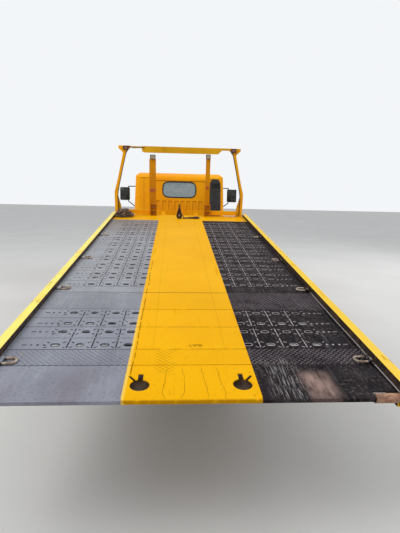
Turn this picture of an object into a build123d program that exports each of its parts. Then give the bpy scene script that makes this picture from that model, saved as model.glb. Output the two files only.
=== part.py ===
from build123d import *
import math
import os

os.makedirs("parts", exist_ok=True)

# Frame: X to the truck's right, Y towards its front, Z up from the ground, all in millimetres.
# Bed pieces are drawn flat: X across, Y forward from the tail's edge, Z up from the deck's top.
# Tilting-frame pieces are drawn level, as they lie when the bed is down.

# Driving dimensions of the truck
FRONT_AXLE_Y = 3040
REAR_AXLE_Y = -880
AXLE_Z = 388
CHASSIS_TAIL_Y = -2140
CHASSIS_NOSE_Y = 3915
RAIL_OUT = 350
RAIL_WIDE = 70
RAIL_BASE = 580
RAIL_TOP = 760
STEEL = 8

# Tilt and slide of the bed, as it stands
PIVOT_Y = -2100
PIVOT_Z = 700
REST_TILT = 7.256
TAIL_BEHIND_PIVOT = 1962
DECK_LEVEL = 1045

# Bed
BED_LENGTH = 5300
BED_HALF = 1150
RAIL_CAP = 60
DECK_HALF = BED_HALF - RAIL_CAP
RAIL_HIGH = 45
STRIP_HALF = 350
PLATE_END = 4760
FRONT_PLATE_END = 5240
SKIN = 6
LIP = 20
BEARER_HIGH = 90
MODULE_PITCH = 300
MODULE_STARTS = [513, 821] + [1620 + MODULE_PITCH * step for step in range(10)]
HOLE_ROWS = (55, 234)
HOLE_PLACES = (376, 520, 670, 820)
HOLE_LONG = 45
HOLE_WIDE = 25
FIRST_BEARER = 335
BEARERS = [FIRST_BEARER, 480, 796, 1100, 1400] + [1595 + MODULE_PITCH * step for step in range(12)]
BED_BEAM_IN = 370
BED_BEAM_OUT = 430
BED_BEAM_BASE = -240
TAPER_LENGTH = 850
SLID_BACK = 950
KEYHOLE_U = 135
KEYHOLE_X = 270
KEYHOLE_R = 52
ROLLER_IN = 937
ROLLER_R = 25
RING_ROWS = (370, 1560, 2490, 3600)
GANTRY_X = -18
GANTRY_U = (5175, 5235)
GANTRY_HIGH = 1138
BEAM_HALF = 817
POST_U = 5205
LEFT_BRACKET = (-510, -405)
RIGHT_BRACKET = (408, 512)
WINCH_X = (0, 180)
ROPE_SLOT = (4955, 4990)
DRUM = (5085, -68)

# Cab
CAB_REAR_Y = 2410
CAB_FRONT_Y = 4060
CAB_HALF = 925
CAB_BASE_Z = 640
CAB_ROOF_Z = 2262
CAB_WALL = 35
PANEL_GAP = 5
CAB_PIVOT = (3885, 700)
ARCH_R = 480
# Side view of the door and of its window, (y, z); rear view of the windscreen, (x, z)
DOOR = [(3455, 668), (3890, 668), (3890, 1400), (3606, 2112), (2935, 2112), (2935, 872)]
WINDOW = [(2985, 1440), (3810, 1440), (3566, 2062), (2985, 2062)]
SCREEN = [(-800, 1470), (800, 1470), (762, 2105), (-762, 2105)]
# Rear window: left, right, bottom, top
REAR_WINDOW = (-342, 332, 1760, 2070)
WINDOW_CORNER = 122
DOOR_HINGE = (933, 3898)
HINGE_HEIGHTS = (900, 1290)
BACK_RIB_PITCH = 123
STEER_MIDDLE = (-540, 3545, 1403)
STEER_AXIS = (0, -190, 286)

# Tyres and wheels
TYRE_R = 388
TYRE_W = 200
RIM_R = 214
FRONT_TRACK_HALF = 780
TWIN_MIDDLE = 750
TWIN_SPACING = 245
KINGPIN_X = 655

# Hydraulic cylinders
LIFT_FOOT = (-200, 500)
LIFT_EYE = (1250, 860)
LIFT_X = 170
LIFT_BARREL_R = 45
LIFT_ROD_R = 25
PUSH_Z = DECK_LEVEL - 175
PUSH_BARREL = (-1040, 2100)
PUSH_EYE_DOWN = -1110
PUSH_ROD_LENGTH = 3170


def block(x0, x1, y0, y1, z0, z1):
    """Rectangular block between two corners."""
    size = (x1 - x0, y1 - y0, z1 - z0)
    return Location(((x0 + x1) / 2, (y0 + y1) / 2, (z0 + z1) / 2)) * Box(*size)


def prism_x(points, x0, x1):
    """Side-view outline, (y, z) points, drawn out across the truck."""
    face = make_face(Polyline(*[(x0, y, z) for y, z in points], close=True))
    return extrude(face, amount=x1 - x0, dir=(1, 0, 0))


def prism_y(points, y0, y1):
    """Rear-view outline, (x, z) points, drawn out along the truck."""
    face = make_face(Polyline(*[(x, y0, z) for x, z in points], close=True))
    return extrude(face, amount=y1 - y0, dir=(0, 1, 0))


def prism_z(points, z0, z1):
    """Plan outline, (x, y) points, drawn upwards."""
    face = make_face(Polyline(*[(x, y, z0) for x, y in points], close=True))
    return extrude(face, amount=z1 - z0, dir=(0, 0, 1))


def rod_x(radius, x0, x1, y, z):
    """Round bar across the truck."""
    return Location(((x0 + x1) / 2, y, z), (0, 90, 0)) * Cylinder(radius, x1 - x0)


def rod_y(radius, y0, y1, x, z):
    """Round bar along the truck."""
    return Location((x, (y0 + y1) / 2, z), (90, 0, 0)) * Cylinder(radius, y1 - y0)


def rod_z(radius, z0, z1, x, y):
    """Upright round bar."""
    return Location((x, y, (z0 + z1) / 2)) * Cylinder(radius, z1 - z0)


def turned(profile, x, y=0, z=0):
    """Profile of (distance along X, radius) points turned about an axis across the truck."""
    face = make_face(Polyline(*[(a, 0, r) for a, r in profile], close=True))
    return Location((x, y, z)) * revolve(face, axis=Axis.X)


def both(shape):
    """A piece and its twin on the truck's other side."""
    return [shape, mirror(shape, about=Plane.YZ)]


def merged(*shapes):
    """Solids that touch, welded into one."""
    return shapes[0] + list(shapes[1:])


def side_prism(face, x0, x1):
    """Side-view face drawn out across the truck between two distances from its middle."""
    across = Plane(origin=(x0, 0, 0), x_dir=(0, 1, 0), z_dir=(1, 0, 0))
    return extrude(across * face, amount=x1 - x0)


def save(name, shapes, place=None):
    """Writes one named piece, which may be several solids that don't touch."""
    shapes = shapes if isinstance(shapes, list) else [shapes]
    solids = [solid for shape in shapes for solid in shape.solids()]
    if place is not None:
        solids = [place * solid for solid in solids]
    whole = solids[0] if len(solids) == 1 else Compound(children=solids)
    export_step(whole, f"parts/{name}.step")


def channel_x(x0, x1, y, z0, z1, wide, wall):
    """Channel section that runs across, open towards the front."""
    outline = [(y, z0), (y + wide, z0), (y + wide, z0 + wall), (y + wall, z0 + wall),
               (y + wall, z1 - wall), (y + wide, z1 - wall), (y + wide, z1), (y, z1)]
    return prism_x(outline, x0, x1)


def channel_y(y0, y1, x_web, x_lips, z0, z1, wall):
    """Channel section that runs along the truck, with its web at x_web."""
    step = wall if x_lips > x_web else -wall
    outline = [(x_web, z0), (x_lips, z0), (x_lips, z0 + wall), (x_web + step, z0 + wall),
               (x_web + step, z1 - wall), (x_lips, z1 - wall), (x_lips, z1), (x_web, z1)]
    return prism_y(outline, y0, y1)


# Places of the tilting frame and of the bed
TILT_PLACE = Location((0, PIVOT_Y, PIVOT_Z)) * Rotation(REST_TILT, 0, 0) * Location((0, -PIVOT_Y, -PIVOT_Z))
DECK_OVER_PIVOT = DECK_LEVEL - PIVOT_Z
SLOPE = math.radians(REST_TILT)
TAIL_Y = PIVOT_Y - DECK_OVER_PIVOT * math.sin(SLOPE) - TAIL_BEHIND_PIVOT * math.cos(SLOPE)
TAIL_Z = PIVOT_Z + DECK_OVER_PIVOT * math.cos(SLOPE) - TAIL_BEHIND_PIVOT * math.sin(SLOPE)
BED_PLACE = Location((0, TAIL_Y, TAIL_Z)) * Rotation(REST_TILT, 0, 0)


# Chassis

def chassis_frame():
    """Two channel rails with their cross members, hangers, pads and the tilt pivot's pin."""
    rails = both(channel_y(CHASSIS_TAIL_Y, CHASSIS_NOSE_Y, RAIL_OUT, RAIL_OUT - RAIL_WIDE,
                           RAIL_BASE, RAIL_TOP, STEEL))
    web = RAIL_OUT - STEEL
    # Columns: rear face, front face, underside, top
    members = [(-1500, -1430, 600, 740), (-270, -170, 632, 750), (900, 960, 588, 660),
               (1900, 1970, 600, 740), (3835, 3905, 600, 740)]
    pieces = rails + [block(-web, web, *row) for row in members]
    pieces.append(rod_x(24.5, -web, web, PIVOT_Y, PIVOT_Z))
    for side in (-1, 1):
        pieces.append(rod_x(19.5, *sorted((side * RAIL_OUT, side * 430)), *CAB_PIVOT))
        for x in (LIFT_X - 50, LIFT_X + 50):
            pieces.append(block(side * x - 5, side * x + 5, -250, -160, 455, 632))
        pieces.append(rod_x(14.5, side * LIFT_X - 45, side * LIFT_X + 45, *LIFT_FOOT))
        inner, outer = sorted((side * (RAIL_OUT - RAIL_WIDE), side * RAIL_OUT))
        for y in (-1000, 400, 1600):
            pieces.append(block(inner, outer, y, y + 160, RAIL_TOP, RAIL_TOP + 17))
    return pieces


def leaf_spring(x, y, half_length, z_eye, sag, width, leaves):
    """Leaf pack: arched leaves on one centre, each shorter than the one above."""
    thick = 12
    radius = (half_length ** 2 + sag ** 2) / (2 * sag)
    middle = z_eye - sag + radius
    pack = []
    for index in range(leaves):
        reach = half_length * (1 - 0.17 * index)
        inner, outer = radius + thick * index, radius + thick * (index + 1)
        ring = Circle(outer) - Circle(inner)
        leaf = (Location((y, middle)) * ring) & (Location((y, z_eye - sag)) * Rectangle(2 * reach, 400))
        pack.append(side_prism(leaf, x - width / 2, x + width / 2))
    return merged(*pack)


def leaf_springs():
    """Front and rear leaf packs on both sides, with the hangers that reach the rails."""
    pieces = []
    # Columns: middle across, axle, half length, eye height, sag, leaf width, leaves, hanger's outer face
    for x, axle, half, eye, sag, width, leaves in ((386, FRONT_AXLE_Y, 600, 520, 45, 66, 3),
                                                    (445, REAR_AXLE_Y, 640, 560, 60, 70, 5)):
        pack = leaf_spring(x, axle, half, eye, sag, width, leaves)
        for end in (-1, 1):
            y = axle + end * (half - 15)
            hanger = prism_x([(y - 35, eye - 22), (y + 35, eye - 22), (y + 60, RAIL_BASE + 90),
                              (y - 60, RAIL_BASE + 90)], RAIL_OUT, x + width / 2)
            pack = pack + hanger
        pieces += both(pack)
    return pieces


def front_axle():
    """Forged beam with a dropped middle, spring seats and kingpin eyes."""
    arm = KINGPIN_X - 20
    outline = [(-arm, 350), (-430, 345), (-300, 300), (300, 300), (430, 345), (arm, 350),
               (arm, 430), (430, 425), (300, 370), (-300, 370), (-430, 425), (-arm, 430)]
    beam = prism_y(outline, FRONT_AXLE_Y - 35, FRONT_AXLE_Y + 35)
    for side in (-1, 1):
        seat = block(side * 386 - 33, side * 386 + 33, FRONT_AXLE_Y - 60, FRONT_AXLE_Y + 60, 400, 439)
        eye = rod_z(36, 335, 441, side * KINGPIN_X, FRONT_AXLE_Y)
        beam = merged(beam, seat, eye) - rod_z(15.5, 330, 446, side * KINGPIN_X, FRONT_AXLE_Y)
    return beam


def rear_axle():
    """Banjo housing with its tubes, spring seats and nose."""
    tube_end = TWIN_MIDDLE - TWIN_SPACING / 2 - 140
    tube = rod_x(50, -tube_end, tube_end, REAR_AXLE_Y, AXLE_Z)
    arc = ThreePointArc((-150, 0, 62), (0, 0, 165), (150, 0, 62))
    bowl = make_face([arc, Polyline((150, 0, 62), (150, 0, 0), (-150, 0, 0), (-150, 0, 62))])
    banjo = Location((0, REAR_AXLE_Y, AXLE_Z)) * revolve(bowl, axis=Axis.X)
    nose = rod_y(75, REAR_AXLE_Y + 60, REAR_AXLE_Y + 270, 0, AXLE_Z + 10)
    seats = [block(side * 445 - 35, side * 445 + 35, REAR_AXLE_Y - 60, REAR_AXLE_Y + 60, 400, 439.5)
             for side in (-1, 1)]
    return merged(tube, banjo, nose, *seats)


def propeller_shaft():
    """Two tubes with a middle joint, from the gearbox to the rear axle's nose."""
    y0, y1 = REAR_AXLE_Y + 270, 2200
    low, high = AXLE_Z + 10, 520
    length = math.hypot(y1 - y0, high - low)
    lean = math.degrees(math.atan2(high - low, y1 - y0))
    at = Location((0, (y0 + y1) / 2, (low + high) / 2), (lean, 0, 0)) * Rotation(90, 0, 0)
    tube = at * Cylinder(38, length - 4)
    collar = at * Cylinder(58, 90)
    return tube + collar


def engine_and_gearbox():
    """Engine as one plain block with its gearbox and sump."""
    engine = block(-255, 255, 2720, 3400, 470, 880)
    sump = block(-170, 170, 2780, 3300, 400, 470)
    gearbox = prism_x([(2206, 450), (2720, 400), (2720, 720), (2500, 650), (2206, 590)], -150, 150)
    return merged(engine, sump, gearbox)


def front_bumper():
    """Pressed bumper bar with turned-back ends, a lower air slot and two brackets to the rails."""
    plan = [(-940, 3900), (-930, 3990), (-860, 4085), (-700, 4130), (700, 4130), (860, 4085),
            (930, 3990), (940, 3900), (915, 3900), (905, 3980), (845, 4060), (690, 4102),
            (-690, 4102), (-845, 4060), (-905, 3980), (-915, 3900)]
    bar = prism_z(plan, 300, 535)
    bar = bar - block(-480, 480, 4050, 4150, 340, 400)
    face = bar & block(-690, 690, 3880, 4200, 290, 540)
    ends = (bar - block(-690, 690, 3880, 4200, 290, 540)).solids()
    brackets = [block(side * 315 - 30, side * 315 + 30, 3840, 4102, 460, 520) for side in (-1, 1)]
    risers = [block(side * 315 - 30, side * 315 + 30, 3840, 3912, 520, RAIL_BASE) for side in (-1, 1)]
    return [face, *ends, *brackets, *risers]


def fuel_tank():
    """Rounded tank hung on the left rail by two straps."""
    tank = block(-830, -430, 950, 1750, 380, 720)
    tank = fillet(tank.edges().filter_by(Axis.Y), 60)
    arms = [block(-432, -RAIL_OUT, y, y + 60, 590, 700) for y in (1050, 1590)]
    return merged(tank, *arms)


def battery_box():
    """Battery case and two air tanks on the right rail."""
    case = block(430, 800, 1350, 1900, 430, 700)
    arms = [block(RAIL_OUT, 432, y, y + 60, 590, 690) for y in (1400, 1780)]
    case = merged(case, *arms)
    tank = rod_y(95, 560, 1240, 560, 500)
    hanger = block(RAIL_OUT, 560, 850, 920, 560, 640)
    return [case, tank + hanger]


def exhaust():
    """Silencer under the left rail with its tail pipe."""
    can = rod_y(95, 250, 820, -560, 500)
    hanger = block(-560, -RAIL_OUT, 500, 560, 560, 640)
    pipe = rod_y(32, -120, 250, -560, 500)
    return merged(can, hanger, pipe)


def side_guards():
    """Two tubes and three posts on each side, reaching back to the rails."""
    tubes = [block(890, 920, -330, 2250, z, z + 80) for z in (430, 620)]
    posts = [block(850, 890, y, y + 50, 430, 705) for y in (-250, 500, 2130)]
    arms = [block(RAIL_OUT, 890, y, y + 50, 705, 745) for y in (-250, 500, 2130)]
    return [piece for bar in tubes + posts + arms for piece in both(bar)]


def rear_mudguards():
    """Rolled guard over each pair of rear tyres, on two arms from the rail."""
    inner_r, outer_r = 440, 444
    ring = rod_x(outer_r, 500, 985, REAR_AXLE_Y, AXLE_Z) - rod_x(inner_r, 490, 995, REAR_AXLE_Y, AXLE_Z)
    half = ring & block(490, 995, REAR_AXLE_Y - 500, REAR_AXLE_Y + 500, AXLE_Z + 130, AXLE_Z + 500)
    arms = [block(RAIL_OUT, 985, REAR_AXLE_Y + y, REAR_AXLE_Y + y + 40, 640, 672) for y in (-362, 322)]
    hollow = rod_x(inner_r, 495, 990, REAR_AXLE_Y, AXLE_Z)
    arms = [arm - hollow for arm in arms]
    return both(merged(half, *arms))


def rear_lamp_bar():
    """Bar under the chassis tail that carries the lamps, on two drop plates."""
    bar = block(-900, 900, -2190, -2140, 440, 540)
    drops = [block(side * 315 - 35, side * 315 + 35, -2190, -2140, 540, 720) for side in (-1, 1)]
    return merged(bar, *drops)


def tail_lamps():
    """Lamp cases on the bar, one at each end."""
    return both(block(620, 860, -2225, -2190, 450, 530))


save("chassis_frame", chassis_frame())
save("leaf_springs", leaf_springs())
save("front_axle", front_axle())
save("rear_axle", rear_axle())
save("propeller_shaft", propeller_shaft())
save("engine_and_gearbox", engine_and_gearbox())
save("front_bumper", front_bumper())
save("fuel_tank", fuel_tank())
save("battery_and_air_tank", battery_box())
save("exhaust", exhaust())
save("side_guards", side_guards())
save("rear_mudguards", rear_mudguards())
save("rear_lamp_bar", rear_lamp_bar())
save("tail_lamps", tail_lamps())


# Wheels and steering

def tyre(x, y):
    """Tyre with a flat tread, round shoulders and hollow inside."""
    half = TYRE_W / 2
    # Columns: distance in from the sidewall, radius; outer face first, then the hollow
    skin = [(26, RIM_R), (26, RIM_R + 22), (4, RIM_R + 34), (0, 300), (8, 350), (28, TYRE_R - 4), (45, TYRE_R)]
    hollow = [(40, RIM_R), (18, 300), (40, 362)]
    left = [(-half + a, r) for a, r in skin]
    right = [(half - a, r) for a, r in reversed(skin)]
    inside = [(half - a, r) for a, r in hollow] + [(-half + a, r) for a, r in reversed(hollow)]
    profile = left + right + inside
    return turned(profile, x, y, AXLE_Z)


def wheel(x, y, dish):
    """Rim with a drop centre and a dished disc with hand holes; dish is how far out the disc bolts on."""
    rim = turned([(-84, RIM_R - 8), (-84, RIM_R + 18), (-76, RIM_R + 18), (-76, RIM_R - 0.3), (-58, RIM_R - 0.3),
                  (-30, RIM_R - 22), (30, RIM_R - 22), (58, RIM_R - 0.3), (76, RIM_R - 0.3), (76, RIM_R + 18),
                  (84, RIM_R + 18), (84, RIM_R - 8), (62, RIM_R - 8), (30, RIM_R - 32), (-30, RIM_R - 32),
                  (-62, RIM_R - 8)], x, y, AXLE_Z)
    thick = math.copysign(12, dish)
    root = dish * 0.25
    disc = turned([(dish, 0), (dish, 110), (root, 188), (root - thick, 188), (dish - thick, 104),
                   (dish - thick, 0)], x, y, AXLE_Z)
    for step in range(8):
        angle = math.radians(45 * step + 22.5)
        across, up = 150 * math.cos(angle), 150 * math.sin(angle)
        disc = disc - rod_x(18, x - 130, x + 130, y + across, AXLE_Z + up)
    return rim + disc


def front_wheel():
    """Right front wheel with its hub and brake drum."""
    x, y = FRONT_TRACK_HALF, FRONT_AXLE_Y
    hub = turned([(-32, 0), (-32, 70), (-66, 138), (-66, 156), (-10, 156), (0, 70), (98, 62), (132, 50),
                  (138, 30), (138, 0)], x, y, AXLE_Z)
    return merged(wheel(x, y, 110), hub)


def rear_wheels():
    """Right pair of rear wheels, bolted face to face on one hub and drum."""
    inner = wheel(TWIN_MIDDLE - TWIN_SPACING / 2, REAR_AXLE_Y, TWIN_SPACING / 2)
    outer = wheel(TWIN_MIDDLE + TWIN_SPACING / 2, REAR_AXLE_Y, -TWIN_SPACING / 2)
    hub = turned([(-252, 0), (-252, 150), (-60, 150), (-40, 100), (14, 100), (22, 66), (110, 58), (124, 38),
                  (124, 0)], TWIN_MIDDLE, REAR_AXLE_Y, AXLE_Z)
    return merged(inner, outer, hub)


def knuckle():
    """Right steering knuckle: two ears round the beam's eye, kingpin, backing plate and steering arm."""
    x, y = KINGPIN_X, FRONT_AXLE_Y
    ears = [block(x - 34, x + 52, y - 34, y + 34, z, z + 22) for z in (447, 307)]
    web = block(x + 42, x + 56, y - 34, y + 34, 307, 469)
    pin = rod_z(14.5, 300, 475, x, y)
    plate = rod_x(150, x + 52, x + 57, y, AXLE_Z)
    spindle = rod_x(28, x + 50, x + 88, y, AXLE_Z)
    arm = prism_z([(x - 34, y - 20), (x + 20, y - 30), (x - 40, y - 190), (x - 70, y - 180)], 309, 327)
    return merged(*ears, web, pin, plate, spindle, arm)


def sides(name, shape):
    """Writes a right-hand piece and its left-hand twin as two nodes."""
    save(f"{name}_right", shape)
    save(f"{name}_left", mirror(shape, about=Plane.YZ))


sides("front_tyre", tyre(FRONT_TRACK_HALF, FRONT_AXLE_Y))
sides("front_wheel", front_wheel())
sides("knuckle", knuckle())
rear_pair = [tyre(TWIN_MIDDLE + side * TWIN_SPACING / 2, REAR_AXLE_Y) for side in (-1, 1)]
sides("rear_tyres", Compound(children=rear_pair))
sides("rear_wheels", rear_wheels())


# Tilting frame and its cylinders, drawn level

def tilt_frame():
    """Two channel beams with low cross members, ears on the pivot's pin and lugs for the cylinders."""
    base, top = DECK_LEVEL - 262, DECK_LEVEL - 102
    pieces = both(channel_y(-2200, 2120, RAIL_OUT, RAIL_OUT - RAIL_WIDE, base, top, STEEL))
    web = RAIL_OUT - STEEL
    seat = base + 35
    for y in (-1200, -300, 500, 1225, 2000):
        pieces.append(block(-web, web, y, y + 100, base + STEEL, seat))
    for side in (-1, 1):
        ear = prism_x([(PIVOT_Y - 50, PIVOT_Z - 40), (PIVOT_Y + 50, PIVOT_Z - 40), (PIVOT_Y + 110, base),
                       (PIVOT_Y + 110, top - 20), (PIVOT_Y - 95, top - 20), (PIVOT_Y - 95, base)],
                      side * 262 - 12, side * 262 + 12)
        ear = ear - rod_x(25.5, side * 262 - 20, side * 262 + 20, PIVOT_Y, PIVOT_Z)
        tie = block(*sorted((side * 270, side * 300)), PIVOT_Y - 60, PIVOT_Y + 60, base + STEEL, base + 2 * STEEL)
        pieces.append(ear + tie)
        for x in (LIFT_X - 50, LIFT_X + 50):
            y, z = LIFT_EYE
            lug = prism_x([(y - 25, seat), (y + 60, seat), (y + 30, z + 25), (y - 25, z + 25)],
                          side * x - 5, side * x + 5)
            head = side * (x + (-10 if x < LIFT_X else 10))
            pieces.append(lug + rod_x(20, head - 6, head + 6, *LIFT_EYE))
    return pieces


def push_barrel():
    """Long barrel of the cylinder that slides the bed, on saddles over the frame's cross members."""
    y0, y1 = PUSH_BARREL
    barrel = rod_y(42, y0, y1, 0, PUSH_Z) - rod_y(33, y0 + 40, y1 - 25, 0, PUSH_Z)
    barrel = barrel - rod_y(25.5, y0 - 1, y0 + 41, 0, PUSH_Z)
    for y in (-300, 2000):
        barrel = barrel + (block(-50, 50, y, y + 100, DECK_LEVEL - 227, PUSH_Z) - rod_y(38, y0, y1, 0, PUSH_Z))
    return barrel


def push_rod():
    """Rod of the sliding cylinder with the eye that hangs from the bed, drawn flat in the bed."""
    u = PUSH_EYE_DOWN + BED_STOWED_TAIL
    rod = rod_y(25, u + 30, u + PUSH_ROD_LENGTH, 0, -175)
    eye = rod_x(34, -24, 24, u, -175) - rod_x(15.5, -25, 25, u, -175)
    return merged(rod, eye)


LIFT_REST_EYE = TILT_PLACE * Location((0, *LIFT_EYE))
LIFT_RUN = LIFT_REST_EYE.position.Y - LIFT_FOOT[0]
LIFT_RISE = LIFT_REST_EYE.position.Z - LIFT_FOOT[1]
LIFT_LENGTH = math.hypot(LIFT_RUN, LIFT_RISE)
LIFT_LEAN = math.degrees(math.atan2(LIFT_RISE, LIFT_RUN))
LIFT_PLACE = Location((0, *LIFT_FOOT)) * Rotation(LIFT_LEAN, 0, 0)
BED_STOWED_TAIL = -(PIVOT_Y - (TAIL_BEHIND_PIVOT - SLID_BACK))


def lift_barrels():
    """Barrels of the two tilt cylinders, drawn along Y from their feet."""
    barrel = rod_y(LIFT_BARREL_R, 40, 1200, LIFT_X, 0) - rod_y(34, 90, 1160, LIFT_X, 0)
    barrel = barrel - rod_y(LIFT_ROD_R + 0.5, 1150, 1201, LIFT_X, 0)
    foot = rod_x(34, LIFT_X - 38, LIFT_X + 38, 0, 0)
    neck = block(LIFT_X - 30, LIFT_X + 30, 15, 60, -25, 25)
    bore = rod_x(15.2, LIFT_X - 40, LIFT_X + 40, 0, 0)
    return both((barrel + foot + neck) - bore)


def lift_rods():
    """Rods of the two tilt cylinders with their upper eyes, drawn along Y from the feet."""
    rod = rod_y(LIFT_ROD_R, LIFT_LENGTH - 780, LIFT_LENGTH - 20, LIFT_X, 0)
    eye = rod_x(34, LIFT_X - 34, LIFT_X + 34, LIFT_LENGTH, 0)
    return both(rod + eye)


save("tilt_frame", tilt_frame(), TILT_PLACE)
save("push_cylinder", push_barrel(), TILT_PLACE)
save("push_rod", push_rod(), BED_PLACE)
save("lift_barrels", lift_barrels(), LIFT_PLACE)
save("lift_rods", lift_rods(), LIFT_PLACE)


# Bed, drawn flat

def bed_frame():
    """Cross bearers on two long channel beams that taper to the tail, with a front beam and the slide's lugs."""
    deep, high = BED_BEAM_BASE, -SKIN - BEARER_HIGH
    at_bearer = -LIP + (FIRST_BEARER - 20) * (deep + LIP) / (TAPER_LENGTH - 20)
    tip = [(20, -SKIN), (20, -LIP), (FIRST_BEARER, at_bearer), (FIRST_BEARER, -SKIN)]
    side = [(FIRST_BEARER, high), (FIRST_BEARER, at_bearer), (TAPER_LENGTH, deep), (5200, deep), (5200, high)]
    pocket = [(470, high - 10), (TAPER_LENGTH + 5, deep + 10), (5190, deep + 10), (5190, high - 10)]
    beam = prism_x(side, BED_BEAM_IN, BED_BEAM_OUT) - prism_x(pocket, BED_BEAM_IN + 10, BED_BEAM_OUT + 1)
    pieces = both(beam) + both(prism_x(tip, BED_BEAM_IN, BED_BEAM_OUT))
    for x, u0 in ((750, 20), (1050, 62)):
        low = -LIP - (u0 - 20) * (high + 8 + LIP) / (20 - FIRST_BEARER)
        outline = [(u0, -SKIN), (u0, low), (FIRST_BEARER, high + 8), (FIRST_BEARER, -SKIN)]
        pieces += both(prism_x(outline, x - 5, x + 5))
    pieces += [channel_x(-DECK_HALF, DECK_HALF, u, high, -SKIN, 50, SKIN) for u in BEARERS]
    pieces.append(block(-DECK_HALF, DECK_HALF, FRONT_PLATE_END - 60, FRONT_PLATE_END, high, -SKIN))
    eye = PUSH_EYE_DOWN + BED_STOWED_TAIL
    pieces += both(prism_x([(eye - 30, -205), (eye + 30, -205), (eye + 60, high), (eye - 60, high)], 30, 42))
    pieces.append(rod_x(14.5, -30, 30, eye, -175))
    pieces.append(block(-BED_BEAM_OUT, BED_BEAM_OUT, eye - 50, eye + 50, high, high + 12))
    return pieces


def deck_strip():
    """Centre strip with its keyholes, the wide plate at the front and the turned-down lip at the tail."""
    plate = block(-STRIP_HALF, STRIP_HALF, 0, PLATE_END, -SKIN, 0)
    lip = block(-STRIP_HALF, STRIP_HALF, 0, SKIN, -LIP, -SKIN)
    front = block(-DECK_HALF, DECK_HALF, PLATE_END, FRONT_PLATE_END, -SKIN, 0)
    front = front - block(*WINCH_X, *ROPE_SLOT, -SKIN - 1, 1)
    for side in (-1, 1):
        x = side * KEYHOLE_X
        plate = plate - rod_z(KEYHOLE_R, -10, 10, x, KEYHOLE_U)
        plate = plate - block(x - 14, x + 14, KEYHOLE_U, 240, -10, 10)
        reach = math.radians(52)
        slot = Location((x + side * 54 * math.cos(reach), KEYHOLE_U + 62 * math.sin(reach), 0),
                        (0, 0, side * 52)) * Box(90, 16, 30)
        plate = plate - slot
    return [merged(plate, lip), front]


def deck_plates():
    """Pressed plates on both sides of the strip, with rows of oval holes, open at the tail's corners."""
    oval = Rectangle(HOLE_LONG, HOLE_WIDE)
    oval = chamfer(oval.vertices(), HOLE_WIDE * 0.3)
    places = [(x, start + row) for start in MODULE_STARTS for row in HOLE_ROWS for x in HOLE_PLACES]
    holes = [Location(place) * oval for place in places]
    middle = (STRIP_HALF + DECK_HALF) / 2
    sheet = Location((middle, PLATE_END / 2)) * Rectangle(DECK_HALF - STRIP_HALF, PLATE_END)
    plate = extrude(Plane((0, 0, -SKIN)) * (sheet - holes), amount=SKIN)
    lip = block(STRIP_HALF, DECK_HALF, 0, SKIN, -LIP, -SKIN)
    corner = block(ROLLER_IN - 3, DECK_HALF + 1, -1, 58, -LIP - 1, 1)
    return both(merged(plate, lip) - corner)


def tail_rollers():
    """Bare tube across each corner of the tail."""
    return both(rod_x(ROLLER_R, ROLLER_IN, BED_HALF - 2, 28, -18) - rod_x(19, ROLLER_IN - 1, BED_HALF, 28, -18))


def side_rails():
    """Capped side channels, each in two lengths that meet at a joint."""
    pieces = []
    for y0, y1 in ((60, 1588), (1592, FRONT_PLATE_END)):
        outline = [(DECK_HALF, -96), (BED_HALF, -96), (BED_HALF, RAIL_HIGH), (DECK_HALF, RAIL_HIGH)]
        tube = prism_y(outline, y0, y1)
        hollow = block(DECK_HALF + 5, BED_HALF - 5, y0 - 1, y1 + 1, -91, RAIL_HIGH - 5)
        pieces += both(tube - hollow)
    return pieces


def tie_down_rings():
    """Long links that lie loose on the deck, each under a welded strap beside the rail."""
    pieces = []
    for u in RING_ROWS:
        ring = extrude(SlotOverall(110, 56) - SlotOverall(84, 30), amount=12, dir=(0, 0, 1))
        strap = block(1046, 1068, u - 40, u + 40, 0, 19) - block(1045, 1069, u - 30, u + 30, -1, 13)
        pieces += both(Location((1025, u, 0.5)) * ring) + both(strap)
    return pieces


def gantry_posts():
    """Posts that stand upright, then lean inwards to a forked head, with foot plates and knee plates."""
    y0, y1 = GANTRY_U
    pieces = []
    for side in (-1, 1):
        def outline(points):
            return [(GANTRY_X + side * x, z) for x, z in points]
        post = prism_y(outline([(1040, 0), (1088, 0), (1088, 395), (1068, 460), (1020, 640), (982, 810), (945, 970),
                                (933, 1026), (890, 1026), (903, 950), (938, 815), (974, 655), (1018, 466),
                                (1040, 340)]), y0, y1)
        head = prism_y(outline([(891, 1024), (933, 1024), (950, 1050), (1003, 1094), (1003, GANTRY_HIGH),
                                (BEAM_HALF, GANTRY_HIGH), (BEAM_HALF, 1102), (843, 1078), (866, 1046)]), y0, y1)
        knee = prism_y(outline([(1041, 0), (1041, 345), (1008, 211), (992, 158), (990, 0)]), y0 + 40, y1)
        foot = block(*sorted((GANTRY_X + side * 985, GANTRY_X + side * 1070)), y0 - 20, FRONT_PLATE_END, 0, 12)
        rail = block(-BED_HALF, -DECK_HALF, y0 - 30, FRONT_PLATE_END + 1, -1, RAIL_HIGH)
        pieces.append(merged(post, head, knee, foot) - rail)
    return pieces


def gantry_beam():
    """Beam across the posts' heads, deep in the middle, with a strip at each end, the left one thinner."""
    y0, y1 = GANTRY_U
    outline = [(-BEAM_HALF, 1110), (-BEAM_HALF, 1132), (-622, 1132), (-622, GANTRY_HIGH), (BEAM_HALF, GANTRY_HIGH),
               (BEAM_HALF, 1102), (692, 1102), (660, 1071), (628, 1040), (-574, 1036), (-618, 1050), (-626, 1091),
               (-626, 1110)]
    return prism_y([(GANTRY_X + x, z) for x, z in outline], y0, y1)


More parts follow.
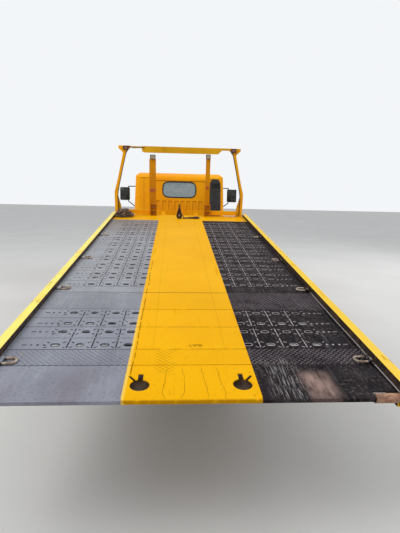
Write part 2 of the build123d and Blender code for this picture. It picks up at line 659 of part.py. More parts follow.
def lamps():
    """Corner lamps on the gantry's heads and work lamps on the inner posts."""
    low, high = GANTRY_U[0] - 35, GANTRY_U[0]
    pieces = [block(*sorted((GANTRY_X + side * 840, GANTRY_X + side * 925)), low, high, 1074, 1136)
              for side in (-1, 1)]
    for x0, x1, top in ((-510, -422, 936), (414, 488, 962)):
        pieces.append(block(x0, x1, 5170, 5225, top, top + 70))
    return pieces


def inner_posts():
    """Two unequal posts rising from open two-cell brackets at the plate's front edge."""
    pieces = []
    # Columns: inner face of the post, outer face, top, bracket's inner face, outer face
    for x0, x1, top, b0, b1 in ((-525, -417, 936, *LEFT_BRACKET), (420, 492, 962, *RIGHT_BRACKET)):
        post = block(x0, x1, POST_U, FRONT_PLATE_END, 0, top)
        cell = block(b0, b1, POST_U - 55, POST_U, 0, 204)
        for low, high in ((8, 90), (100, 196)):
            cell = cell - block(b0 + 8, b1 - 8, POST_U - 56, POST_U - 8, low, high)
        pieces.append(merged(post, cell))
    return pieces


def front_bars():
    """Bars that tie the inner posts to the gantry's knees."""
    knee = 990
    return [block(GANTRY_X - knee, LEFT_BRACKET[0] - 15, POST_U, FRONT_PLATE_END, 18, 92),
            block(RIGHT_BRACKET[1] - 20, GANTRY_X + knee, POST_U, FRONT_PLATE_END, 18, 92)]


def winch():
    """Rope winch hung under the front plate, a roller at the rope's slot and the snatch block."""
    x0, x1 = WINCH_X
    u, n = DRUM
    outline = [(4950, -SKIN), (4950, -45), (u - 50, n - 55), (u + 50, n - 55), (5175, -45), (5175, -SKIN)]
    cheeks = [prism_x(outline, x - 10, x) for x in (x0, x1 + 10)]
    drum = turned([(x0, 0), (x0, 50), (x0 + 8, 50), (x0 + 8, 30), (x1 - 8, 30), (x1 - 8, 50), (x1, 50), (x1, 0)],
                  0, u, n)
    case = rod_x(50, x1 + 10, x1 + 80, u, n)
    motor = rod_x(36, x0 - 110, x0 - 10, u, n)
    roller = rod_x(14, x0, x1, (ROPE_SLOT[0] + ROPE_SLOT[1]) / 2, -30)
    return [merged(*cheeks, drum, case, motor, roller), snatch_block()]


def snatch_block():
    """Pulley block stood on end on the front plate: two drop-shaped cheeks, a sheave and its head."""
    x, foot, wide, high = -20, 0, 46, 170
    drop = make_face([ThreePointArc((x - wide, 60), (x, foot), (x + wide, 60)),
                      Polyline((x + wide, 60), (x + 18, high), (x - 18, high), (x - wide, 60))])
    planes = [Plane(origin=(0, u, 0), x_dir=(1, 0, 0), z_dir=(0, -1, 0)) for u in (4946, 4916)]
    cheeks = [extrude(plane * drop, amount=8) for plane in planes]
    sheave = rod_y(38, 4916, 4938, x, 56)
    head = rod_y(10, 4908, 4946, x, high - 18) + block(x - 12, x + 12, 4916, 4938, high - 30, 236)
    return merged(*cheeks, sheave, head)


def chain_pile():
    """Heap of tie-down chain on the front plate, by the left post."""
    outline = [(-1080, 0), (-770, 0), (-800, 60), (-860, 115), (-940, 135), (-1010, 128), (-1065, 60)]
    return prism_y(outline, 4900, 5140)


save("bed_frame", bed_frame(), BED_PLACE)
save("deck_strip", deck_strip(), BED_PLACE)
save("deck_plates", deck_plates(), BED_PLACE)
save("tail_rollers", tail_rollers(), BED_PLACE)
save("side_rails", side_rails(), BED_PLACE)
save("tie_down_rings", tie_down_rings(), BED_PLACE)
save("gantry_posts", gantry_posts(), BED_PLACE)
save("gantry_beam", gantry_beam(), BED_PLACE)
save("bed_lamps", lamps(), BED_PLACE)
save("inner_posts", inner_posts(), BED_PLACE)
save("front_bars", front_bars(), BED_PLACE)
save("winch", winch(), BED_PLACE)
save("chain_pile", chain_pile(), BED_PLACE)


# Cab

def cab_volume(inset, base):
    """Body of the cab as the common part of its side, rear and plan outlines, all moved in by inset."""
    side = [(CAB_REAR_Y, base), (CAB_REAR_Y, 2175), (2560, 2245), (3000, CAB_ROOF_Z), (3440, 2245), (3650, 2180),
            (3975, 1420), (4045, 1330), (CAB_FRONT_Y, 1150), (CAB_FRONT_Y, base)]
    rear = [(-CAB_HALF, base), (-CAB_HALF, 1450), (-885, 2180), (-790, CAB_ROOF_Z + 1), (790, CAB_ROOF_Z + 1),
            (885, 2180), (CAB_HALF, 1450), (CAB_HALF, base)]
    plan = [(-CAB_HALF, CAB_REAR_Y), (CAB_HALF, CAB_REAR_Y), (CAB_HALF, CAB_FRONT_Y), (-CAB_HALF, CAB_FRONT_Y)]

    def outline(points, soft, radius):
        face = make_face(Polyline(*points, close=True))
        face = offset(face, -inset, kind=Kind.INTERSECTION) if inset else face
        corners = [v for v in face.vertices() if soft(v)]
        return fillet(corners, radius - inset)

    from_side = outline(side, lambda v: v.Y > 2120 or (v.X > 3900 and v.Y > 1200), 60)
    from_rear = outline(rear, lambda v: v.Y > 2120, 70)
    from_above = outline(plan, lambda v: True, 130)
    across = Plane(origin=(-1000, 0, 0), x_dir=(0, 1, 0), z_dir=(1, 0, 0))
    along = Plane(origin=(0, 4200, 0), x_dir=(1, 0, 0), z_dir=(0, -1, 0))
    body = extrude(across * from_side, amount=2000)
    body = body & extrude(along * from_rear, amount=2000)
    return body & extrude(Plane.XY * from_above, amount=2400)


def side_face(points, grow):
    """Side-view outline grown outwards by a gap, its rear lower corner cut by the wheel's arch."""
    face = make_face(Polyline(*points, close=True))
    face = offset(face, grow, kind=Kind.INTERSECTION) if grow else face
    arch = Location((FRONT_AXLE_Y, AXLE_Z)) * Circle(ARCH_R - grow)
    return face - arch


def rounded_prism_y(points, radius, y0, y1):
    """Rear-view outline with rounded corners drawn out along the truck."""
    face = make_face(Polyline(*points, close=True))
    face = fillet(face.vertices(), radius)
    along = Plane(origin=(0, y1, 0), x_dir=(1, 0, 0), z_dir=(0, -1, 0))
    return extrude(along * face, amount=y1 - y0)


def window_points(grow):
    """Rear window's corners, grown outwards."""
    x0, x1, z0, z1 = REAR_WINDOW
    return [(x0 - grow, z0 - grow), (x1 + grow, z0 - grow), (x1 + grow, z1 + grow), (x0 - grow, z1 + grow)]


CAB_OUTER = cab_volume(0, CAB_BASE_Z)
CAB_INNER = cab_volume(CAB_WALL, CAB_BASE_Z - 200)
SHELL = CAB_OUTER - CAB_INNER


def cab_panels():
    """Roof, back, front and side panels, parted where the real ones meet."""
    screen = rounded_prism_y(SCREEN, 60, 3400, 4100)
    rear_window = rounded_prism_y(window_points(0), WINDOW_CORNER, 2300, 2600)
    arch = rod_x(ARCH_R, -1000, 1000, FRONT_AXLE_Y, AXLE_Z)
    shell = SHELL - screen - rear_window - arch
    opening = side_face(DOOR, PANEL_GAP)
    shell = shell - side_prism(opening, 800, 1000) - side_prism(opening, -1000, -800)
    roof_z = 2140
    roof = shell & block(-1000, 1000, 2300, 4200, roof_z, 2400)
    lower = shell & block(-1000, 1000, 2300, 4200, 400, roof_z)
    back = lower & block(-1000, 1000, 2300, 2470, 400, roof_z)
    back = back - block(-780, 780, 2300, 2480, 400, 905)
    nose = prism_x([(3885, 400), (3885, 1398), (3593, 2141), (4200, 2141), (4200, 400)], -1000, 1000)
    front = lower & nose
    flanks = (lower & block(-1000, 1000, 2470, 4200, 400, roof_z)) - nose
    return roof, back, front, flanks


def back_ribs(back):
    """Upright pockets pressed in under the rear window, and the ledge over it."""
    count = 10
    first = -BACK_RIB_PITCH * (count - 1) / 2
    for step in range(count):
        x = first + step * BACK_RIB_PITCH
        pocket = block(x - 38, x + 38, CAB_REAR_Y - 1, CAB_REAR_Y + 14, 1494, 1689)
        back = back - chamfer(pocket.faces().sort_by(Axis.Y)[-1].edges(), 8)
    ledge = block(-600, 560, CAB_REAR_Y - 14, CAB_REAR_Y, 2088, 2139)
    return back + chamfer(ledge.faces().sort_by(Axis.Y)[0].edges(), 6)


def lamp_zone(grow):
    """Room for one headlamp at each front corner."""
    return [block(*sorted((side * (560 - grow), side * (900 + grow))), 3900, 4100, 720 - grow, 862 + grow)
            for side in (-1, 1)]


def front_panel(front):
    """Front panel with lamp openings and a grille of level slots between them."""
    for zone in lamp_zone(0):
        front = front - zone
    for step in range(5):
        z = 735 + 26 * step
        front = front - block(-500, 500, 3990, 4100, z, z + 13)
    return front


def hinge_halves(front):
    """Outer barrels of the door hinges with their leaves, on the front panel."""
    x, y = DOOR_HINGE
    for z in HINGE_HEIGHTS:
        for low in (z - 51, z + 26):
            half = rod_z(8, low, low + 25, x, y) + block(CAB_HALF, x, y, y + 28, low, low + 25)
            for piece in both(half):
                front = front + piece
    return front


def headlamps():
    """Lamps that fill the openings at the front corners, bent round them with the panel."""
    return [SHELL & zone for zone in lamp_zone(-0.3)]


def cab_glass():
    """Windscreen and rear window, set in the middle of the wall."""
    pane = cab_volume(8, CAB_BASE_Z - 200) - cab_volume(14, CAB_BASE_Z - 200)
    screen = pane & rounded_prism_y(SCREEN, 60, 3400, 4100)
    rear = pane & rounded_prism_y(window_points(0), WINDOW_CORNER, 2300, 2600)
    return [screen, rear]


def cab_floor():
    """Stepped floor over engine and wheels, with footwell, cross sill and the two tilt ears."""
    path = [(2440, 935), (3500, 935), (3545, 800), (4040, 800), (4040, 775), (3520, 775), (3475, 905),
            (2440, 905)]
    floor = prism_x(path, -920, 920) & CAB_INNER
    for side in (-1, 1):
        y, z = CAB_PIVOT
        ear = block(*sorted((side * 375, side * 415)), y - 42, y + 42, z - 42, 775)
        floor = floor + (ear - rod_x(20, side * 395 - 30, side * 395 + 30, y, z))
    return floor


def steps():
    """Entry step under each door on two hangers from the floor."""
    tread = block(690, 905, 3560, 3860, 430, 455)
    hangers = [block(700, 720, y, y + 40, 455, 775) for y in (3580, 3800)]
    return [piece for bar in (tread, *hangers) for piece in both(bar)]


def door():
    """Right door as thick as the cab's wall, with its window cut out and a barrel for each hinge."""
    panel = side_prism(side_face(DOOR, 0), 800, 1000)
    glass_hole = fillet(make_face(Polyline(*WINDOW, close=True)).vertices(), 45)
    leaf = (SHELL & panel) - side_prism(glass_hole, 780, 1000)
    x, y = DOOR_HINGE
    for z in HINGE_HEIGHTS:
        leaf = leaf + rod_z(8, z - 24, z + 24, x, y) + block(CAB_HALF, x, y - 45, y, z - 24, z + 24)
    return leaf


def door_glass():
    """Right door's window pane."""
    pane = cab_volume(12, CAB_BASE_Z - 200) - cab_volume(17, CAB_BASE_Z - 200)
    glass_hole = fillet(make_face(Polyline(*WINDOW, close=True)).vertices(), 45)
    return pane & side_prism(glass_hole, 780, 1000)


def bar(start, end, radius):
    """Round bar between two points."""
    a, b = Vector(*start), Vector(*end)
    run = Plane(origin=a, z_dir=b - a)
    return run * Location((0, 0, (b - a).length / 2)) * Cylinder(radius, (b - a).length)


def mirrors():
    """Mirror heads on tubular arms from the front pillars."""
    head = block(1172, 1398, 3895, 3955, 1668, 1972)
    head = fillet(head.edges().filter_by(Axis.Y), 30)
    low = bar((905, 3935, 1420), (1200, 3935, 1640), 11)
    riser = bar((1200, 3935, 1640), (1200, 3935, 1995), 11)
    high = bar((1200, 3935, 1995), (868, 3700, 1995), 11)
    joints = [Location(at) * Sphere(12) for at in ((1200, 3935, 1640), (1200, 3935, 1995))]
    arm = merged(low, riser, high, *joints) - CAB_OUTER
    arm = merged(*[solid for solid in arm.solids() if solid.volume > 1000])
    return both(merged(head, arm))


def air_intake():
    """Upright intake duct behind the cab's right corner, tapered at the top."""
    duct = prism_y([(615, 1180), (825, 1180), (835, 1400), (815, 2060), (770, 2134), (650, 2134), (615, 2060)],
                   2262, 2395)
    duct = duct - block(640, 800, 2255, 2280, 1960, 2050)
    feet = [block(640, 800, 2395, CAB_REAR_Y, z, z + 60) for z in (1300, 1900)]
    return merged(duct, *feet)


def cab_seats():
    """Driver's seat and double passenger seat, as plain cushions and backs."""
    pieces = []
    for x0, x1 in ((-790, -290), (-240, 790)):
        pieces.append(block(x0, x1, 2560, 3080, 935, 1090))
        pieces.append(prism_x([(2480, 1090), (2600, 1090), (2560, 1700), (2490, 1700)], x0, x1))
    return pieces


def cab_interior():
    """Dashboard with its cowl and the steering column."""
    dash = prism_x([(3640, 1130), (4030, 1130), (4030, 1380), (3900, 1400), (3700, 1380)], -900, 900)
    dash = dash & cab_volume(CAB_WALL, CAB_BASE_Z - 200)
    column = bar((-540, 3760, 1080), (-540, 3570, 1366), 26)
    return dash + column


def steering_wheel():
    """Rim on three spokes and a boss, square to the column."""
    outline = [(196, -11), (207, -16), (218, -11), (222, 0), (218, 11), (207, 16), (196, 11), (192, 0)]
    rim = revolve(make_face(Polyline(*[(a, 0, b) for a, b in outline], close=True)), axis=Axis.Z)
    boss = Location((0, 0, -8)) * Cylinder(42, 40)
    spokes = [Rotation(0, 0, turn) * block(30, 200, -14, 14, -6, 6) for turn in (90, 210, 330)]
    place = Plane(origin=STEER_MIDDLE, x_dir=(1, 0, 0), z_dir=STEER_AXIS)
    return place * merged(rim, boss, *spokes)


roof_panel, back_panel, nose_panel, flank_panels = cab_panels()
save("cab_roof", roof_panel)
save("cab_back", back_ribs(back_panel))
save("cab_front", hinge_halves(front_panel(nose_panel)))
save("cab_sides", flank_panels)
save("cab_glass", cab_glass())
save("cab_floor", cab_floor())
save("cab_steps", steps())
save("headlamps", headlamps())
save("mirrors", mirrors())
save("air_intake", air_intake())
save("cab_seats", cab_seats())
save("cab_interior", cab_interior())
save("steering_wheel", steering_wheel())
sides("door", door())
sides("door_glass", door_glass())
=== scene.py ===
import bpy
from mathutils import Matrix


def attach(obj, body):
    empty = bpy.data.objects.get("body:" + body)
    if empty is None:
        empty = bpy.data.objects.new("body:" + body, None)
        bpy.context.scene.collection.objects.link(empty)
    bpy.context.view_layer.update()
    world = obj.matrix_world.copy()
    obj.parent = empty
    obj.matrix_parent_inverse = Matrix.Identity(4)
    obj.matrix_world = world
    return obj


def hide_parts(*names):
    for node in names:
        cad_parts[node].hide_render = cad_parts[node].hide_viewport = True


bl_info = {
    "name": "Flatbed Tow Truck",
    "version": (1, 0, 0),
    "blender": (4, 5, 0),
    "location": "View3D > Sidebar > Tow Truck",
    "description": "Dresses the tow truck's frame with worn paint, tread plate, tyres, lamps and fittings",
    "category": "Object",
}

import math
import random

import bmesh
import bpy
from mathutils import Matrix, Vector
from mathutils.bvhtree import BVHTree

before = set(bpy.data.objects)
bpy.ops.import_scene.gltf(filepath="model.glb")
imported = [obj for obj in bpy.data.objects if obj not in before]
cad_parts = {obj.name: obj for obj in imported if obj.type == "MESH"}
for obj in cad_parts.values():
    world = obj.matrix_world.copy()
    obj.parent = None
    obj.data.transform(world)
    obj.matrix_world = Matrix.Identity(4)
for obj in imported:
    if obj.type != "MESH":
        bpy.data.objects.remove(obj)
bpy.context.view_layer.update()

# The bed's own axes: X across, Y forward from the tail's edge, Z up from the deck's top
BED_TILT = math.radians(7.256)
PIVOT = Vector((0, -2.1, 0.7))
TAIL = PIVOT + Matrix.Rotation(BED_TILT, 3, "X") @ Vector((0, -1.962, 0.345))
BED = Matrix.Translation(TAIL) @ Matrix.Rotation(BED_TILT, 4, "X")

# Deck: start of each pressed plate along the bed, rows of holes in it, holes and ribs across
PRESSED_STARTS = [0.513, 0.821] + [1.62 + 0.3 * step for step in range(10)]
HOLE_ROWS = (0.055, 0.234)
HOLE_PLACES = (0.376, 0.52, 0.67, 0.82)
RIB_PLACES = (0.448, 0.595, 0.745)
DECK_SEAMS = (0.33, 0.513, 0.821, 1.125, 1.62)
JOINT_U = 1.48
STRIP_HALF = 0.35
PLATE_END = 4.76
BEAD_N = -0.001
DIAMONDS = (0.034, 0.024, 0.009)
# Pressed marks round a hole: way that they slant, place across and along, and their own slant and half length
MARKS = ((1, -0.052, -0.03), (-1, 0.052, -0.03), (-1, -0.05, 0.032), (1, 0.05, 0.032))
MARK_SLANT, MARK_HALF = 0.7, 0.011

# Bed fittings: rows of tie rings along the bed, the gantry's middle, the winch drum's middle along and up
RING_ROWS = (0.37, 1.56, 2.49, 3.6)
GANTRY_X = -0.018
DRUM = (5.085, -0.068)
# Gantry lamps: left and right edge, low and high edge, face along the bed
GANTRY_LAMPS = ((GANTRY_X - 0.926, GANTRY_X - 0.839, 1.073, 1.137, 5.14),
                (GANTRY_X + 0.839, GANTRY_X + 0.926, 1.073, 1.137, 5.14),
                (-0.511, -0.421, 0.937, 1.007, 5.17), (0.413, 0.489, 0.963, 1.033, 5.17))
LAMP_RIM = 0.006
# Inner edge of the gantry's posts: height above the deck, distance from the gantry's middle
POST_EDGE = ((1.0, 0.893), (0.95, 0.903), (0.815, 0.938), (0.655, 0.974), (0.466, 1.018), (0.34, 1.04),
             (0.2, 1.04), (0.05, 1.04))
WIRE_R = 0.006

# Wheels
AXLE_Z = 0.388
TYRE_R = 0.388
TYRE_W = 0.2
RIM_R = 0.214
FRONT_Y, REAR_Y = 3.04, -0.88
# Columns: body, replaced node, middle of each tyre across, distance along
TYRE_TABLE = [
    ("front_wheel_right", "front_tyre_right", (0.78,), FRONT_Y),
    ("front_wheel_left", "front_tyre_left", (-0.78,), FRONT_Y),
    ("rear_wheels_right", "rear_tyres_right", (0.6275, 0.8725), REAR_Y),
    ("rear_wheels_left", "rear_tyres_left", (-0.6275, -0.8725), REAR_Y),
]

# Cab
CAB_REAR, CAB_HALF = 2.41, 0.925
REAR_WINDOW = (-0.342, 0.332, 1.76, 2.07)
SCREEN = ((-0.8, 1.47), (0.8, 1.47), (0.762, 2.105), (-0.762, 2.105))
DOOR_WINDOW = ((2.985, 1.44), (3.81, 1.44), (3.566, 2.062), (2.985, 2.062))
SCREEN_LEAN, DOOR_LEAN = 0.325 / 0.76, 0.04 / 0.73

# Seats: side profiles as (y, z) points, how far they start inside them, swell, remeshing, edges and seams
CUSHION_PROFILE = ((2.56, 0.935), (3.08, 0.935), (3.08, 1.09), (2.56, 1.09))
BACK_PROFILE = ((2.48, 1.09), (2.6, 1.09), (2.56, 1.7), (2.49, 1.7))
SEAT_INSET = 0.016
SEAT_SWELL = 0.024
SEAT_VOXEL = 0.018
SEAT_EDGE = 0.02
SEAT_CHANNEL = 0.009
CLOTH_FRAMES, CLOTH_PRESSURE = 20, 4

# Camera, found from the photo's straight lines
CAMERA_AT = (-0.099, -5.908, 1.779)
CAMERA_YAW, CAMERA_PITCH, CAMERA_ROLL = (math.radians(a) for a in (3.788, 9.857, 1.282))
IMAGE_WIDE, IMAGE_HIGH, FOCAL_PIXELS = 400, 533, 400

# Light: sky's strength, what shows behind the truck, and lamps as name, place, watts and size
SKY_STRENGTH = 0.72
BACKDROP = (0.9, 0.92, 0.94, 1)
LAMPS = (("key_light", (-7, -5, 9), 620, 7), ("fill_light", (8, 3, 7), 330, 6))

SMOOTH_ANGLE = math.radians(35)
FULL_TURN = 2 * math.pi
MATERIALS = {}

# Sprayed yellows: name, colour, deeper colour, on the bed, where chips begin, dust, painted shade on inner faces
PAINTS = {
    "cab": ("cab_yellow_paint", (253, 172, 0), (246, 158, 0)),
    # The bed yellow's last colour is painted shade on the inner faces of the gantry posts and front bars
    "bed_yellow": ("bed_yellow_paint", (250, 178, 2), (240, 160, 2), True, 0.7, 0.2, (66, 30, 22)),
    "guard": ("guard_yellow_paint", (248, 174, 6), (234, 154, 4), False, 0.68, 0.4),
    "beam": ("gantry_beam_paint", (226, 172, 24), (206, 150, 16), True),
    "inner_post": ("inner_post_paint", (216, 142, 4), (196, 122, 2), True),
}
BLACKS = {"black": ("chassis_satin_black",), "bed_black": ("bed_satin_black", True)}
# Rusted steels: name, pale and dark colour, on the bed
RUSTS = {
    "rust": ("rusted_steel", (158, 112, 76), (74, 48, 36)),
    "bed_rust": ("bed_rusted_steel", (158, 112, 76), (74, 48, 36), True),
    "winch": ("winch_greasy_iron", (76, 50, 42), (36, 24, 22), True),
    "chain": ("chain_rusted_links", (150, 126, 108), (66, 50, 42), True),
    "ring": ("tie_ring_worn_steel", (206, 192, 176), (140, 116, 96), True),
    "tube": ("tail_tube_rust", (188, 146, 118), (132, 92, 72), True),
}
# Lenses: name, clear and deep colour, pitch of the flutes
LENSES = {
    "lamp_red": ("red_lamp_lens", (150, 16, 14), (96, 6, 8), 90.0),
    "lamp_amber": ("amber_lamp_lens", (236, 120, 14), (200, 84, 6), 90.0),
    "lamp_clear": ("clear_lamp_lens", (214, 218, 220), (202, 206, 210), 60.0),
}
# Plain surfaces: name, light and dark colour, roughness, grain, metal
PLAINS = {
    "trim": ("black_moulded_trim", (26, 26, 28), (40, 40, 42), (0.45, 0.7), 200),
    "seal": ("window_rubber_seal", (20, 20, 22), (34, 34, 35), (0.6, 0.8), 90),
    "cast": ("cast_grey_iron", (92, 92, 94), (62, 62, 64), (0.55, 0.8), 110, 0.4),
    "zinc": ("bolt_zinc_steel", (164, 160, 150), (116, 110, 100), (0.35, 0.6), 260, 0.8),
    "cylinder": ("cylinder_black_paint", (36, 36, 38), (54, 52, 50), (0.3, 0.55), 160),
    "chrome": ("rod_hard_chrome", (206, 208, 212), (176, 178, 184), (0.08, 0.2), 300, 1.0),
    "mirror": ("mirror_silvered_glass", (62, 64, 61), (44, 46, 44), (0.08, 0.16), 20, 0.7),
    "band": ("reflective_band", (204, 116, 22), (176, 88, 16), (0.3, 0.45), 240),
    "red_line": ("reflector_red", (176, 34, 26), (140, 22, 18), (0.25, 0.4), 240),
    # Keyhole plates: painted shade, the shaded ground seen through the holes
    "well": ("keyhole_well_dirt", (96, 76, 58), (36, 22, 16), (0.7, 0.9), 60),
    # Pocket edge lines: dirt with painted shade in the recesses
    "groove": ("cab_pocket_grooves", (168, 100, 4), (136, 78, 4), (0.5, 0.7), 120),
    "rope": ("greased_wire_rope", (70, 64, 58), (38, 34, 32), (0.35, 0.6), 320, 0.6),
    "plate": ("blank_sign_plate", (222, 222, 218), (196, 196, 190), (0.35, 0.5), 140),
}
# Finish of each CAD node
NODE_FINISH = {
    "cab": "cab_roof cab_back cab_front cab_sides door_left door_right front_bumper",
    "bed_yellow": "gantry_posts front_bars",
    "beam": "gantry_beam",
    "inner_post": "inner_posts",
    "rail": "side_rails",
    "guard": "side_guards rear_lamp_bar tilt_frame",
    "strip": "deck_strip",
    "deck": "deck_plates",
    "black": "chassis_frame leaf_springs front_axle rear_axle propeller_shaft fuel_tank battery_and_air_tank "
             "cab_floor cab_steps knuckle_left knuckle_right",
    "bed_black": "bed_frame",
    "rust": "exhaust",
    "tube": "tail_rollers",
    "bed_rust": "tie_down_rings",
    "chain": "chain_pile",
    "wheel": "front_wheel_left front_wheel_right rear_wheels_left rear_wheels_right",
    "rubber": "front_tyre_left front_tyre_right rear_tyres_left rear_tyres_right",
    "glass": "cab_glass door_glass_left door_glass_right",
    "lamp_red": "tail_lamps",
    "bed_lamps": "bed_lamps",
    "lamp_clear": "headlamps",
    "trim": "rear_mudguards mirrors air_intake steering_wheel cab_interior",
    "cast": "engine_and_gearbox",
    "winch": "winch",
    "cylinder": "push_cylinder lift_barrels",
    "chrome": "push_rod lift_rods",
    "cloth": "cab_seats",
}


def linear(value):
    """One channel of a seen colour, 0 to 255, as a shader's value."""
    value /= 255
    return value / 12.92 if value <= 0.04045 else ((value + 0.055) / 1.055) ** 2.4


def tone(value):
    """A seen colour, 0 to 255 a channel, as a shader's colour; a socket or a shader's colour as it is."""
    if isinstance(value, bpy.types.NodeSocket) or len(value) == 4:
        return value
    return (*(linear(channel) for channel in value), 1.0)


def add_node(tree, kind, inputs=None, **settings):
    """Shader node with its settings, its inputs linked to sockets or set to values."""
    node = tree.nodes.new(kind)
    for key, value in settings.items():
        setattr(node, key, value)
    for key, value in (inputs or {}).items():
        if isinstance(value, bpy.types.NodeSocket):
            tree.links.new(value, node.inputs[key])
        else:
            node.inputs[key].default_value = value
    return node


class Finish:
    """One material and the few kinds of node that its look is built from."""

    def __init__(self, name, on_bed=False, **sockets):
        self.material = bpy.data.materials.new(name)
        self.material.use_nodes = True
        self.tree = self.material.node_tree
        self.shader = self.tree.nodes["Principled BSDF"]
        self.place = self.add("ShaderNodeTexCoord").outputs["Object"]
        if on_bed:
            inputs = {"Vector": self.place, "Location": TAIL, "Rotation": (BED_TILT, 0, 0)}
            self.place = self.add("ShaderNodeMapping", inputs, vector_type="TEXTURE").outputs[0]
        self.axes = self.add("ShaderNodeSeparateXYZ", {0: self.place}).outputs
        for socket, value in sockets.items():
            self.shader.inputs[socket.replace("_", " ").title().replace("Ior", "IOR")].default_value = value

    def add(self, kind, inputs=None, **settings):
        return add_node(self.tree, kind, inputs, **settings)

    def noise(self, scale, low=0.0, high=1.0, stretch=None, detail=4, twist=0.0):
        """Clouds between low and high, drawn out to 0..1."""
        place = self.place
        if stretch:
            place = self.add("ShaderNodeVectorMath", {0: place, 1: stretch}, operation="MULTIPLY").outputs[0]
        inputs = {"Vector": place, "Scale": scale, "Detail": detail, "Distortion": twist}
        return self.ramp(self.add("ShaderNodeTexNoise", inputs).outputs["Fac"], low, high)

    def cells(self, scale):
        """Distance from the middles of uneven cells."""
        return self.add("ShaderNodeTexVoronoi", {"Vector": self.place, "Scale": scale}).outputs["Distance"]

    def flutes(self, scale):
        """Fine upright waves."""
        inputs = {"Vector": self.place, "Scale": scale}
        return self.add("ShaderNodeTexWave", inputs, bands_direction="X").outputs["Fac"]

    def ramp(self, value, low, high):
        """Value or axis drawn out from low..high to 0..1 and held there."""
        value = self.axes[value] if isinstance(value, str) else value
        inputs = {"Value": value, "From Min": low, "From Max": high}
        return self.add("ShaderNodeMapRange", inputs, interpolation_type="SMOOTHSTEP").outputs["Result"]

    def math(self, operation, a, b=0.0):
        return self.add("ShaderNodeMath", {0: a, 1: b}, operation=operation).outputs[0]

    def all_of(self, *values):
        """Product of several masks."""
        result = values[0]
        for value in values[1:]:
            result = self.math("MULTIPLY", result, value)
        return result

    def most_of(self, *values):
        """Highest of several masks."""
        result = values[0]
        for value in values[1:]:
            result = self.math("MAXIMUM", result, value)
        return result

    def between(self, axis, low, high, soft=0.02):
        """Mask that is 1 between two places along an axis."""
        return self.all_of(self.ramp(axis, low - soft, low + soft), self.ramp(axis, high + soft, high - soft))

    def lines(self, axis, places, half, wave=0.0):
        """Mask of thin lines square to an axis, which may wander by wave."""
        along = self.axes[axis]
        if wave:
            drift = self.math("SUBTRACT", self.noise(2.6, 0.2, 0.8, detail=3), 0.5)
            along = self.math("ADD", along, self.all_of(drift, 2 * wave))
        off = [self.math("ABSOLUTE", self.math("SUBTRACT", along, at)) for at in places]
        return self.most_of(*(self.ramp(away, half * 1.6, half * 0.6) for away in off))

    def lozenges(self, pitch, long, wide):
        """Mask of raised lozenges laid both ways, as on tread plate."""
        masks = []
        for shift, turn in ((0.0, 1.0), (pitch / 2, -1.0)):
            dx, dy = (self.add("ShaderNodeMath", {0: self.math("ADD", self.axes[axis], shift), 1: -pitch / 2,
                                                  2: pitch / 2}, operation="WRAP").outputs[0] for axis in "XY")
            turned = self.all_of(dy, turn)
            along = self.math("DIVIDE", self.math("ADD", dx, turned), long)
            over = self.math("DIVIDE", self.math("SUBTRACT", dx, turned), wide)
            reach = self.math("ADD", self.all_of(along, along), self.all_of(over, over))
            masks.append(self.ramp(reach, 0.75, 0.35))
        return self.most_of(*masks)

    def normal(self, axis):
        """How far a face looks along an axis."""
        facing = self.add("ShaderNodeNewGeometry").outputs["Normal"]
        return self.add("ShaderNodeSeparateXYZ", {0: facing}).outputs[axis]

    def facing_in(self):
        """Mask of the faces that look towards the truck's middle."""
        return self.ramp(self.all_of(self.math("SIGN", self.axes["X"]), self.normal("X")), -0.5, -0.8)

    def edges(self, radius):
        """Mask of the outer and inner edges of a solid."""
        turned = self.add("ShaderNodeBevel", {"Radius": radius}, samples=4).outputs[0]
        flat = self.add("ShaderNodeNewGeometry").outputs["Normal"]
        same = self.add("ShaderNodeVectorMath", {0: turned, 1: flat}, operation="DOT_PRODUCT").outputs["Value"]
        return self.ramp(same, 0.99, 0.86)

    def mix(self, mask, under, over, share=1.0):
        """Colour laid over another where a mask is high, or a share of it."""
        mask = mask if share == 1.0 else self.all_of(mask, share)
        return self.add("ShaderNodeMix", {0: mask, 6: tone(under), 7: tone(over)}, data_type="RGBA").outputs[2]

    def blend(self, mask, low, high):
        """Number between low and high."""
        return self.add("ShaderNodeMix", {0: mask, 2: low, 3: high}, data_type="FLOAT").outputs[0]

    def relief(self, *layers):
        """Bumps, each a (height mask, depth in metres) pair, one on the other."""
        normal = None
        for height, depth in layers:
            inputs = {"Height": height, "Distance": abs(depth), "Strength": 1.0}
            if normal is not None:
                inputs["Normal"] = normal
            normal = self.add("ShaderNodeBump", inputs, invert=depth < 0).outputs[0]
        self.tree.links.new(normal, self.shader.inputs["Normal"])

    def done(self, color, roughness, metallic=None):
        for name, value in (("Base Color", color), ("Roughness", roughness), ("Metallic", metallic)):
            if isinstance(value, bpy.types.NodeSocket):
                self.tree.links.new(value, self.shader.inputs[name])
            elif value is not None:
                self.shader.inputs[name].default_value = value
        return self.material


